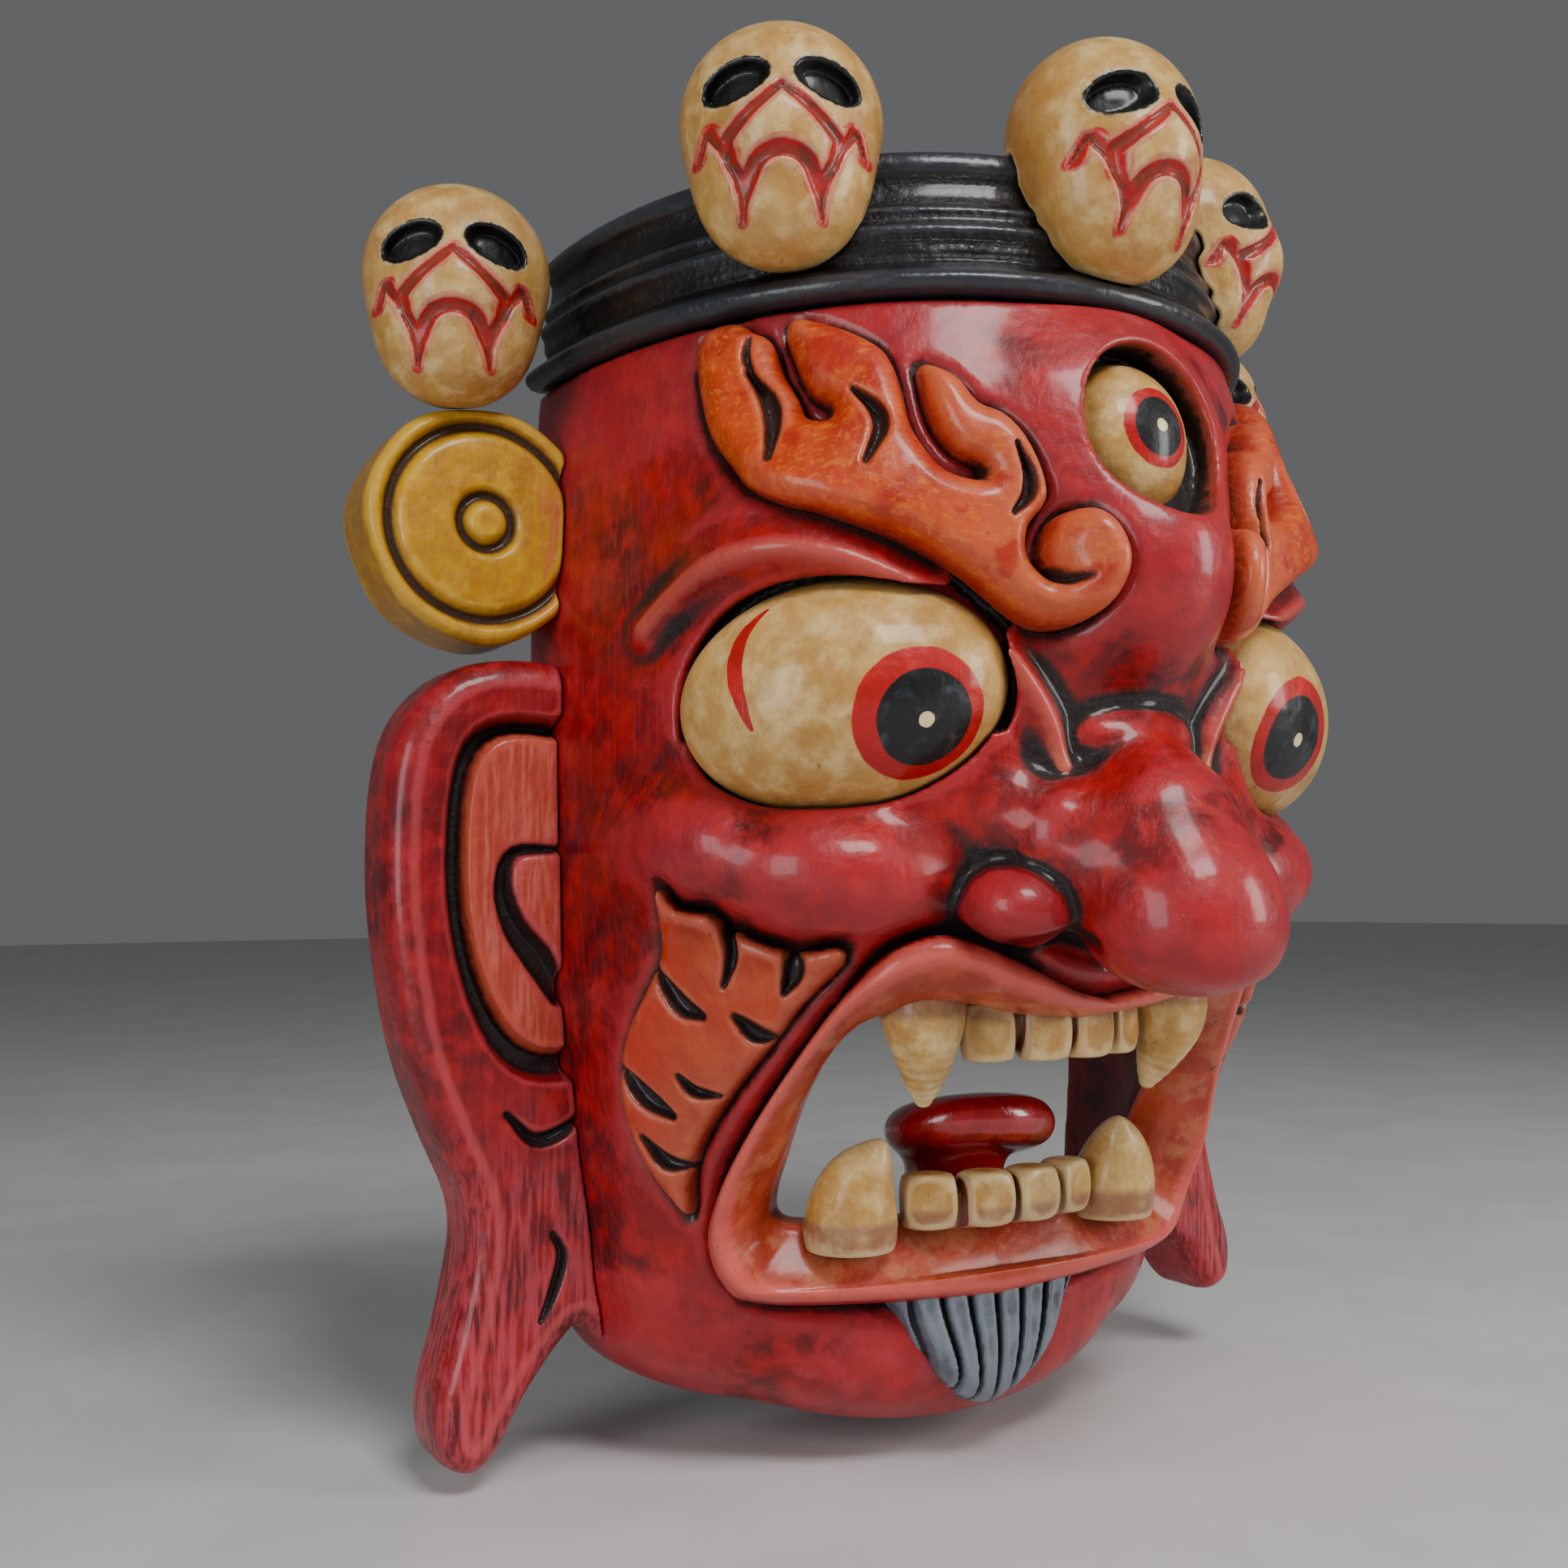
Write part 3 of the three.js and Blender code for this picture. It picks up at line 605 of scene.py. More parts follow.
def skull_field(name):
    def field(p):
        x, y, z, size = skull_local(p, name)
        d = ball((x, y, z), (0, 3, 5.5), (24, 22, 23.5))
        for form in SKULL_FORMS:
            d = swell(d, (x, y, z), *form)
        front = smooth_step(4, -4, y)
        strokes, hole = skull_marks(x, z)
        d = d + front * (1.3 * smooth_step(0.6, -1.0, strokes) + 3.6 * smooth_step(0.4, -1.6, hole))
        d = d * size
        d = smooth_max(d, -(crown_field(p) - 0.5), 0.6)
        if "far" in name:
            hand = -1 if "left" in name else 1
            d = smooth_max(d, -(disc_field(hand)(p) - 0.4), 0.6)
            d = smooth_max(d, p[1] + 0.5, 1.5)
        return d

    return field


# ---- ears and discs
EAR_FRONT = -24.0
DISC_CENTRE = (118.5, 58.5)
DISC_RADIUS = 30.5
DISC_RING, BOSS_RING = 24.5, 6.6  # radii of the two ring grooves


def disc_field(hand):
    """A turned disc, a little out of round, with two ring grooves and a boss."""
    def field(p):
        x, y, z = p
        u, v = hand * x - DISC_CENTRE[0], z - DISC_CENTRE[1]
        wobble = 0.5 * np.sin(3 * np.arctan2(v, u)) + 0.3 * np.sin(7 * np.arctan2(v, u) + 1)
        r = np.sqrt(u * u + v * v)
        face = EAR_FRONT + 0.012 * np.maximum(r - 8, 0) ** 1.5
        ring = 3.4 * np.exp(-(((r - DISC_RING) / 1.9) ** 2))
        boss_ring = 3.0 * np.exp(-(((r - BOSS_RING) / 1.7) ** 2))
        boss = -0.6 * smooth_step(6, 3, r)
        d = smooth_max(r - DISC_RADIUS - wobble + 0.5, face + ring + boss_ring + boss - y, 4.0)
        d = smooth_max(d, y + 0.3, 1.5)
        return smooth_max(d, -(head(p) - 0.5), 0.8)

    return field


# outlines of an ear, as (distance from the middle, height)
EAR = [
    (80, 18), (92, 23), (108, 25), (125, 21.5), (137, 10), (142, -6), (143, -30), (141, -52), (136.5, -75),
    (129, -95), (122.5, -110), (121.5, -122), (125.5, -142), (129.5, -158), (128, -171), (120, -175.5),
    (113, -170), (106, -158), (94, -144), (80, -136),
]
EAR_LINE = curve(EAR, 4, closed=True)
LOBE_TOP = -80
RIGHT_LOBE = 0.85  # the lobe on the right is shorter by this factor
CONCHA = [
    (86, 7), (100, 9), (114, 9), (123.5, 3), (127.5, -12), (128, -35), (124, -56), (117, -72), (108, -80),
    (96, -81), (86, -78),
]
PANEL = [
    (84, 1), (100, 6), (114, 5.5), (121.5, -3), (123.8, -20), (123.2, -40), (119, -57), (111.5, -70),
    (102, -75.5), (92, -74), (84, -69),
]
TRAGUS = [
    (84, -20), (97, -24), (107, -24), (111, -31), (108, -42), (102, -49), (96, -58), (90, -62), (84, -60),
]
CONCHA_LINE = curve(CONCHA, 3, closed=True)
PANEL_LINE = curve(PANEL, 3, closed=True)
TRAGUS_LINE = curve(TRAGUS, 3, closed=True)
TRAGUS_CUT = curve([(98, -23.5), (110, -24.5), (113, -33), (110, -43), (104, -51), (98, -60)], 4)
TRAGUS_CUT_WIDE = np.interp(np.linspace(0, 1, len(TRAGUS_CUT)), [0, 0.3, 0.8, 1], [0.6, 1.8, 3.6, 3.0])
EAR_CUTS = [
    ([(113, -89), (106, -95.5), (98, -94), (92, -89)], 1.7),
    ([(101, -119), (98.5, -125), (101, -134), (104, -140)], 1.3),
]


def ear_field(hand):
    """A flat-backed ear with a rounded edge, a hollow, the panel raised in it and gouged cuts."""
    def field(p):
        x, y, z = p
        u = hand * x
        if hand > 0:
            z = np.where(z < LOBE_TOP, LOBE_TOP + (z - LOBE_TOP) / RIGHT_LOBE, z)
        edge = outline(u, z, EAR_LINE)
        concha = outline(u, z, CONCHA_LINE)
        panel = outline(u, z, PANEL_LINE)
        tragus = outline(u, z, TRAGUS_LINE)
        rim = np.clip(-edge / 7.0, 0, 1)
        front = EAR_FRONT + 7.5 * (1 - np.sqrt(1 - (1 - rim) ** 2))
        well = smooth_step(1.5, -2.5, concha)
        raised = smooth_step(0.8, -2.5, panel)
        lobe = smooth_step(1.0, -3.0, tragus)
        front = front + 7.5 * well - 4.6 * raised
        trench = strand((u, z), TRAGUS_CUT, TRAGUS_CUT_WIDE)
        front = front + 4.0 * smooth_step(1.0, -2.0, trench) - 0.8 * lobe
        for points, wide in EAR_CUTS:
            path = curve(points, 4)
            front = front + 2.8 * smooth_step(0.9, -1.4, strand((u, z), path, taper(path, wide, 0.25)))
        d = np.maximum(front - y, 0) * 0.9 + np.minimum(front - y, 0)
        d = smooth_max(d, edge, 2.0)
        d = smooth_max(d, y + 0.3, 3.0)
        d = smooth_max(d, -(head(p) - 0.5), 0.8)
        return smooth_max(d, -(disc_field(hand)(p) - 0.6), 1.0)

    return field


# ---------------------------------------------------------------- meshing
def mesh_field(field, low, high, step):
    """Quads of the zero surface of a field, sampled only near it. Returns points and faces."""
    block = 4  # cells in a block that is sampled, or skipped, as one
    batch = 8192  # blocks sampled in one call
    cells = [int(math.ceil((b - a) / (step * block))) for a, b in zip(low, high)]
    centre = [
        (a + (np.arange(n, dtype=np.float32) + 0.5) * block * step - step / 2)
        for a, n in zip(low, cells)
    ]
    coarse = field([g.ravel() for g in np.meshgrid(*centre, indexing="ij")]).reshape(cells)
    near = np.abs(coarse) < block * step * 1.9 + 2.0
    values = np.repeat(np.repeat(np.repeat(coarse, block, 0), block, 1), block, 2).astype(np.float32)
    picked = np.argwhere(near)
    offsets = np.indices((block, block, block)).reshape(3, -1).T
    for start in range(0, len(picked), batch):
        index = (picked[start:start + batch, None, :] * block + offsets[None]).reshape(-1, 3)
        places = [np.float32(low[k]) + index[:, k].astype(np.float32) * np.float32(step) for k in range(3)]
        values[index[:, 0], index[:, 1], index[:, 2]] = field(places)
    values = np.clip(values, -3 * step, 3 * step)
    grid = openvdb.FloatGrid(3 * step)
    grid.copyFromArray(np.ascontiguousarray(values))
    points, _, quads = grid.convertToPolygons(0.0, 0.0)
    return points * step + np.array(low), quads


def to_frame(points):
    """Mask millimetres to the frame's metres."""
    moved = points * UNIT
    moved[:, 2] += IRIS_HEIGHT
    return moved


def to_mask(points):
    """The frame's metres to mask millimetres, as three arrays."""
    moved = points.copy()
    moved[:, 2] -= IRIS_HEIGHT
    return [np.ascontiguousarray(moved[:, k] / UNIT) for k in range(3)]


def mesh_points(mesh):
    flat = np.empty(len(mesh.vertices) * 3, np.float32)
    mesh.vertices.foreach_get("co", flat)
    return flat.reshape(-1, 3)


def sculpt(name, node, field, step, margin=4.0):
    """A smooth piece from a field, in the place of a CAD node."""
    low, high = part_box(node)
    a, b = (np.array(c) / UNIT for c in (low, high))
    a[2] -= IRIS_HEIGHT / UNIT
    b[2] -= IRIS_HEIGHT / UNIT
    points, quads = mesh_field(field, a - margin, b + margin, step)
    mesh = bpy.data.meshes.new(name)
    mesh.vertices.add(len(points))
    mesh.vertices.foreach_set("co", to_frame(points).astype(np.float32).ravel())
    mesh.loops.add(quads.size)
    mesh.loops.foreach_set("vertex_index", quads.astype(np.int32).ravel())
    mesh.polygons.add(len(quads))
    mesh.polygons.foreach_set("loop_start", np.arange(0, quads.size, 4, dtype=np.int32))
    mesh.update(calc_edges=True)
    mesh.validate()
    piece = bpy.data.objects.new(name, mesh)
    bpy.context.scene.collection.objects.link(piece)
    keep_largest(piece)
    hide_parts(node)
    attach(piece, "mask")
    return piece


def keep_largest(piece):
    """Drops loose crumbs, and thins the mesh where it holds too many triangles."""
    mesh = piece.data
    count = len(mesh.vertices)
    edges = np.empty(len(mesh.edges) * 2, np.int64)
    mesh.edges.foreach_get("vertices", edges)
    a, b = edges.reshape(-1, 2).T
    label = np.arange(count)
    while True:
        low = np.minimum(label[a], label[b])
        fresh = label.copy()
        np.minimum.at(fresh, a, low)
        np.minimum.at(fresh, b, low)
        fresh = fresh[fresh]
        if np.array_equal(fresh, label):
            break
        label = fresh
    groups, sizes = np.unique(label, return_counts=True)
    main = groups[np.argmax(sizes)]
    if len(groups) > 1:
        work = bmesh.new()
        work.from_mesh(mesh)
        work.verts.ensure_lookup_table()
        bmesh.ops.delete(work, geom=[work.verts[i] for i in np.flatnonzero(label != main)], context="VERTS")
        work.to_mesh(mesh)
        work.free()
    triangles = 2 * len(mesh.polygons)
    if triangles > FACE_LIMIT:
        thin = piece.modifiers.new("thin", "DECIMATE")
        thin.ratio = FACE_LIMIT / triangles
        bpy.context.view_layer.update()
        graph = bpy.context.evaluated_depsgraph_get()
        piece.data = bpy.data.meshes.new_from_object(piece.evaluated_get(graph))
        piece.modifiers.clear()
    piece.data.shade_smooth()


# ---------------------------------------------------------------- marks on the vertices
def mark(piece, name, values):
    """One number for each vertex, which the paints read by name."""
    layer = piece.data.attributes.new(name, "FLOAT", "POINT")
    layer.data.foreach_set("value", np.ascontiguousarray(values, np.float32))


def mark_hollows_and_ridges(piece, fine_steps=5, wide_steps=40, fine_mm=0.12, wide_mm=1.0):
    """Hollows and ridges of the carving, from how far smoothing moves each point; the paints use them for
    wear and painted sheen on the ridges, and for staining and painted shade in the hollows.
    """
    mesh = piece.data
    places = mesh_points(mesh).astype(np.float64) / UNIT
    edges = np.empty(len(mesh.edges) * 2, np.int32)
    mesh.edges.foreach_get("vertices", edges)
    a, b = edges.reshape(-1, 2).T
    count = len(places)
    share = np.maximum(np.bincount(a, minlength=count) + np.bincount(b, minlength=count), 1)
    normals = np.empty(count * 3, np.float32)
    mesh.vertex_normals.foreach_get("vector", normals)
    normals = normals.reshape(-1, 3)
    moved = places.copy()
    for step in range(wide_steps):
        for k in range(3):
            column = moved[:, k]
            total = np.bincount(a, column[b], count) + np.bincount(b, column[a], count)
            moved[:, k] = total / share
        if step + 1 == fine_steps:
            mark(piece, "fine", np.clip(((moved - places) * normals).sum(1) / fine_mm, -1, 1))
    mark(piece, "wide", np.clip(((moved - places) * normals).sum(1) / wide_mm, -1, 1))


# ---------------------------------------------------------------- materials
class Nodes:
    """Short names for the shader nodes that the paints share."""

    def __init__(self, name):
        self.material = bpy.data.materials.new(name)
        self.material.use_nodes = True
        self.tree = self.material.node_tree
        self.shader = self.tree.nodes["Principled BSDF"]
        self.place = self.tree.nodes.new("ShaderNodeTexCoord").outputs["Object"]

    def put(self, socket, value):
        if isinstance(value, bpy.types.NodeSocket):
            self.tree.links.new(value, socket)
        elif isinstance(value, tuple) and len(value) == 3 and socket.type == "RGBA":
            socket.default_value = (*value, 1)
        else:
            socket.default_value = value

    def attr(self, name):
        node = self.tree.nodes.new("ShaderNodeAttribute")
        node.attribute_name = name
        return node.outputs["Fac"]

    def noise(self, size, detail=4.0, seed=0, stretch=(1, 1, 1), turn=(0, 0, 0), blur=0.55):
        """Noise with features about size millimetres wide."""
        spin = self.tree.nodes.new("ShaderNodeMapping")
        spin.inputs["Location"].default_value = (seed * 1.7, seed * 0.9, seed * 2.3)
        spin.inputs["Rotation"].default_value = tuple(math.radians(v) for v in turn)
        spin.inputs["Scale"].default_value = stretch
        self.put(spin.inputs["Vector"], self.place)
        node = self.tree.nodes.new("ShaderNodeTexNoise")
        self.put(node.inputs["Vector"], spin.outputs["Vector"])
        node.inputs["Scale"].default_value = 1.0 / (size * UNIT)
        node.inputs["Detail"].default_value = detail
        node.inputs["Roughness"].default_value = blur
        return node.outputs["Fac"]

    def calc(self, kind, a, b=0.0, c=0.0):
        node = self.tree.nodes.new("ShaderNodeMath")
        node.operation = kind
        for socket, value in zip(node.inputs, (a, b, c)):
            self.put(socket, value)
        return node.outputs[0]

    def step(self, value, low, high):
        """0 below low, 1 above high; falls instead when low is the larger."""
        node = self.tree.nodes.new("ShaderNodeMapRange")
        node.interpolation_type = "SMOOTHSTEP"
        start, end = (0.0, 1.0) if low < high else (1.0, 0.0)
        self.put(node.inputs["Value"], value)
        node.inputs["From Min"].default_value = min(low, high)
        node.inputs["From Max"].default_value = max(low, high)
        node.inputs["To Min"].default_value = start
        node.inputs["To Max"].default_value = end
        return node.outputs["Result"]

    def mix(self, share, a, b):
        node = self.tree.nodes.new("ShaderNodeMix")
        node.data_type = "RGBA"
        self.put(node.inputs["Factor"], share)
        self.put(node.inputs["A"], a)
        self.put(node.inputs["B"], b)
        return node.outputs["Result"]

    def times(self, a, b):
        return self.calc("MULTIPLY", a, b)

    def shaky(self, name, size=2.2, reach=0.7, seed=0):
        """A distance mark with a hand-painted wobble, in millimetres."""
        wobble = self.calc("MULTIPLY_ADD", self.noise(size, 3, seed + 11), 2 * reach, -reach)
        return self.calc("ADD", self.attr(name), wobble)

    def axis(self, index):
        node = self.tree.nodes.new("ShaderNodeSeparateXYZ")
        self.put(node.inputs[0], self.place)
        return node.outputs[index]

    def openness(self, reach):
        """1 in the open, 0 deep in a crevice about reach millimetres across."""
        node = self.tree.nodes.new("ShaderNodeAmbientOcclusion")
        node.samples = 3
        node.inputs["Distance"].default_value = reach * UNIT
        return node.outputs["AO"]

    def bump(self, heights, strength=1.0):
        """Stacks (height in mm, field) pairs into one bump."""
        total = None
        for deep, field in heights:
            part = self.times(field, deep * UNIT)
            total = part if total is None else self.calc("ADD", total, part)
        node = self.tree.nodes.new("ShaderNodeBump")
        node.inputs["Strength"].default_value = strength
        node.inputs["Distance"].default_value = 1.0
        self.put(node.inputs["Height"], total)
        self.put(self.shader.inputs["Normal"], node.outputs["Normal"])


# The ridge colour stands for wear together with a painted sheen, and the share given for wear sets how much
# of it; the hollow colour stands for staining together with painted shade.
def paint(name, deep, middle, bright, worn_and_sheen, extra=None, grime_and_shade=(0.010, 0.004, 0.004), wear=0.55, dirt_and_shade=1.0,
          gloss=(0.36, 0.56), coat=0.32, rough_cut=0.5, last=None):
    """Brushed enamel on carved wood: blotches, brush marks, ridges lightened by rubbing wear and a painted
    sheen, and hollows darkened by staining and painted shade.
    """
    n = Nodes(name)
    blotch = n.noise(24, 3, 1)
    patch = n.noise(6.5, 5, 2)
    speck = n.noise(1.5, 3, 3)
    brush = n.noise(1.1, 3, 4, stretch=(1, 1, 0.09))
    colour = n.mix(n.step(blotch, 0.36, 0.62), deep, middle)
    colour = n.mix(n.times(n.step(patch, 0.42, 0.68), 0.75), colour, bright)
    colour = n.mix(n.times(n.step(brush, 0.5, 0.74), 0.28), colour, deep)
    if extra:
        colour = extra(n, colour)
    # raised ridges take the lighter ridge colour: partly wear, partly a painted sheen where light would catch
    # them
    convex = n.calc("ADD", n.attr("wide"), n.times(n.attr("fine"), 0.35))
    ridge = n.calc("SUBTRACT", n.times(patch, 0.9), convex)
    rubbed_and_sheen = n.step(n.calc("ADD", ridge, n.times(speck, 0.35)), 1.05, 1.65)
    colour = n.mix(n.times(rubbed_and_sheen, wear), colour, worn_and_sheen)
    # hollows and creases darken, from their hollowness and the ambient occlusion: staining together with
    # painted shade
    open_air = n.openness(5.0)
    sunk = n.calc("ADD", n.times(n.attr("wide"), 0.55), n.times(n.attr("fine"), 0.5))
    stain_and_shade_level = n.calc("ADD", n.calc("SUBTRACT", sunk, n.times(open_air, 1.15)), n.times(patch, 0.5))
    stain_and_shade = n.times(n.step(stain_and_shade_level, -0.62, 0.12), dirt_and_shade)
    colour = n.mix(stain_and_shade, colour, grime_and_shade)
    pit = n.step(n.noise(2.6, 2, 7), 0.73, 0.78)
    colour = n.mix(n.times(pit, 0.5), colour, grime_and_shade)
    if last:
        colour = last(n, colour)
    n.put(n.shader.inputs["Base Color"], colour)
    shine = n.calc("MULTIPLY_ADD", n.noise(3.0, 5, 8), gloss[1] - gloss[0], gloss[0])
    n.put(n.shader.inputs["Roughness"], n.calc("ADD", shine, n.times(stain_and_shade, 0.18)))
    n.shader.inputs["Specular IOR Level"].default_value = 0.3
    n.shader.inputs["Coat Weight"].default_value = coat
    n.shader.inputs["Coat Roughness"].default_value = 0.14
    chisel = n.noise(9, 2, 9)
    n.bump([
        (0.9, chisel),
        (0.10, brush),
        (0.22, n.noise(2.2, 4, 10)),
        (0.05, n.noise(0.7, 2, 12)),
        (rough_cut, n.times(stain_and_shade, n.noise(1.3, 3, 13))),
    ])
    return n.material


# Colours of painted shade in carved grooves; the brown one also gives the brows their pits, and their
# staining and painted shade in the hollows.
BLACK_GROOVE_SHADE = (0.006, 0.004, 0.005)
BROWN_SHADE_AND_STAIN = (0.030, 0.008, 0.005)


def face_extra(n, colour):
    side = n.step(n.calc("ABSOLUTE", n.axis(0)), 0.070, 0.096)
    stroke = n.noise(0.9, 4, 21, stretch=(1, 1, 0.05))
    colour = n.mix(n.times(n.times(side, n.step(stroke, 0.5, 0.66)), 0.6), colour, (0.30, 0.015, 0.028))
    # painted sheen: pinkish patches on the lower face and chin
    sheen_patches = n.step(n.noise(13, 4, 22), 0.55, 0.72)
    chin = n.step(n.axis(2), -0.235, -0.262)
    colour = n.mix(n.times(n.times(chin, sheen_patches), 0.7), colour, (0.40, 0.045, 0.075))
    plum = n.step(n.noise(17, 3, 23), 0.6, 0.75)
    colour = n.mix(n.times(plum, 0.45), colour, (0.065, 0.004, 0.018))
    lid = n.step(n.shaky("lid", 2.5, 1.0), 3.2, 0.8)
    colour = n.mix(n.times(lid, 0.85), colour, (0.52, 0.115, 0.060))
    # painted shade: dark in the gap between the lid ridge and the eyeball
    gap = n.step(n.shaky("gap", 1.6, 1.0), 3.0, 1.4)
    colour = n.mix(gap, colour, (0.035, 0.008, 0.006))
    # painted shade: near black in the trenches round the brows, whiskers and lip
    trench = n.step(n.shaky("trench", 3.0, 1.2), 4.0, 1.2)
    colour = n.mix(n.times(trench, 0.85), colour, BLACK_GROOVE_SHADE)
    rim = n.step(n.shaky("third", 2.0, 0.5), 2.2, 0.4)
    colour = n.mix(n.times(rim, 0.7), colour, (0.26, 0.035, 0.012))
    # painted shade: the wall of the third eye's seat is painted dark violet
    well = n.step(n.shaky("third", 1.5, 0.3), 0.3, -0.8)
    wall = n.mix(n.step(n.noise(5, 4, 24), 0.4, 0.6), (0.050, 0.022, 0.040), (0.17, 0.11, 0.17))
    return n.mix(well, colour, wall)


def brow_extra(n, colour):
    salmon = n.step(n.calc("ADD", n.shaky("inner", 9, 9), n.times(n.attr("wide"), 8)), 66, 42)
    colour = n.mix(n.times(salmon, 0.75), colour, (0.54, 0.10, 0.038))
    streak = n.noise(1.3, 3, 31, stretch=(0.12, 1, 1), turn=(0, 32, 0))
    colour = n.mix(n.times(n.step(streak, 0.52, 0.66), 0.55), colour, (0.66, 0.17, 0.006))
    red = n.step(n.noise(10, 4, 32), 0.54, 0.66)
    colour = n.mix(n.times(red, 0.8), colour, (0.38, 0.010, 0.002))
    edge = n.step(n.shaky("edge", 3, 0.7), -1.8, 0.2)
    colour = n.mix(n.times(edge, 0.8), colour, (0.34, 0.012, 0.006))
    # painted shade: brown in the gouged cuts
    cut = n.step(n.shaky("cut", 1.5, 0.4), 0.9, -0.3)
    return n.mix(n.times(cut, 0.93), colour, BROWN_SHADE_AND_STAIN)


def whisker_extra(n, colour):
    low = n.step(n.calc("MULTIPLY_ADD", n.noise(12, 4, 33), 0.05, n.axis(2)), -0.150, -0.185)
    colour = n.mix(n.times(low, 0.6), colour, (0.50, 0.085, 0.035))
    outer = n.step(n.shaky("inner", 8, 8), 108, 124)
    colour = n.mix(n.times(outer, 0.8), colour, (0.50, 0.022, 0.003))
    edge = n.step(n.shaky("edge", 3, 0.6), -1.5, 0.3)
    colour = n.mix(n.times(edge, 0.85), colour, (0.20, 0.010, 0.008))
    # painted shade: dark in the gouged cuts
    cut = n.step(n.shaky("cut", 1.5, 0.4), 1.1, -0.2)
    return n.mix(n.times(cut, 0.95), colour, (0.035, 0.016, 0.014))


def lip_extra(n, colour):
    colour = n.mix(n.times(n.step(n.noise(9, 4, 41), 0.5, 0.64), 0.6), colour, (0.52, 0.16, 0.07))
    mottle = n.step(n.noise(5, 5, 42), 0.60, 0.68)
    colour = n.mix(n.times(mottle, 0.35), colour, (0.16, 0.045, 0.02))
    chip = n.step(n.noise(4, 2, 43), 0.735, 0.75)
    colour = n.mix(chip, colour, (0.045, 0.045, 0.03))
    pink = n.step(n.calc("ABSOLUTE", n.shaky("edge", 4, 0.8)), 3.4, 1.4)
    colour = n.mix(n.times(pink, 0.9), colour, (0.62, 0.085, 0.065))
    outside = n.step(n.shaky("edge", 3, 0.6), 0.7, 2.4)
    return n.mix(outside, colour, (0.28, 0.002, 0.005))


def ear_extra(n, colour):
    scuff = n.noise(1.3, 4, 51, stretch=(1, 1, 0.10))
    lobe = n.step(n.axis(2), -0.205, -0.235)
    colour = n.mix(n.times(n.step(scuff, 0.40, 0.62), n.calc("MULTIPLY_ADD", lobe, 0.62, 0.10)), colour,
                   (0.46, 0.048, 0.070))
    line = n.step(n.calc("ABSOLUTE", n.calc("ADD", n.shaky("edge", 5, 0.8), 6.5)), 2.0, 0.4)
    colour = n.mix(n.times(line, 0.55), colour, (0.52, 0.065, 0.075))
    panel = n.step(n.shaky("panel", 4, 0.8), 0.2, -1.2)
    pale = n.mix(n.step(scuff, 0.40, 0.70), (0.40, 0.045, 0.026), (0.54, 0.115, 0.080))
    colour = n.mix(panel, colour, pale)
    fringe = n.step(n.calc("ABSOLUTE", n.calc("ADD", n.shaky("panel", 4, 0.9), 2.2)), 2.2, 0.6)
    colour = n.mix(n.times(fringe, 0.75), colour, (0.55, 0.10, 0.03))
    # painted shade: near black in the hollow round the raised panel
    well = n.times(n.step(n.shaky("well", 3, 0.5), -0.2, -1.4), n.step(n.shaky("panel", 3, 0.5), -0.6, 0.6))
    colour = n.mix(n.times(well, 0.95), colour, (0.022, 0.006, 0.012))
    # painted shade: near black in the gouged cuts
    cut = n.step(n.shaky("cut", 1.5, 0.4), 1.2, 0.0)
    return n.mix(n.times(cut, 0.95), colour, BLACK_GROOVE_SHADE)


def bone_mottle(n, colour):
    cloud = n.step(n.noise(7, 6, 61), 0.44, 0.66)
    colour = n.mix(n.times(cloud, 0.55), colour, (0.42, 0.20, 0.045))
    fleck = n.step(n.noise(1.6, 4, 62), 0.60, 0.72)
    return n.mix(n.times(fleck, 0.35), colour, (0.24, 0.10, 0.02))


def skull_extra(n, colour):
    colour = bone_mottle(n, colour)
    # painted shade: brown towards the skull's sides and back
    side = n.step(n.calc("ADD", n.attr("side"), n.times(n.noise(9, 4, 63), 16)), 18, 36)
    colour = n.mix(n.times(side, 0.75), colour, (0.34, 0.145, 0.026))
    smear = n.step(n.shaky("stroke", 5, 1.4), 3.2, 0.4)
    colour = n.mix(n.times(smear, 0.22), colour, (0.36, 0.05, 0.03))
    flare = n.step(n.shaky("flare", 1.5, 0.5), 0.6, -0.4)
    colour = n.mix(n.times(flare, 0.9), colour, (0.03, 0.008, 0.006))
    stroke = n.step(n.shaky("stroke", 2.4, 0.45), 1.5, 1.0)
    red = n.mix(n.step(n.noise(4, 4, 64), 0.5, 0.7), (0.46, 0.003, 0.005), (0.22, 0.007, 0.02))
    colour = n.mix(stroke, colour, red)
    rim = n.step(n.shaky("hole", 3, 0.8), 2.2, 0.4)
    return n.mix(n.times(rim, 0.5), colour, (0.20, 0.08, 0.025))


def skull_last(n, colour):
    hole = n.step(n.shaky("hole", 1.8, 0.7), 1.2, 0.6)
    return n.mix(hole, colour, (0.003, 0.0025, 0.0025))


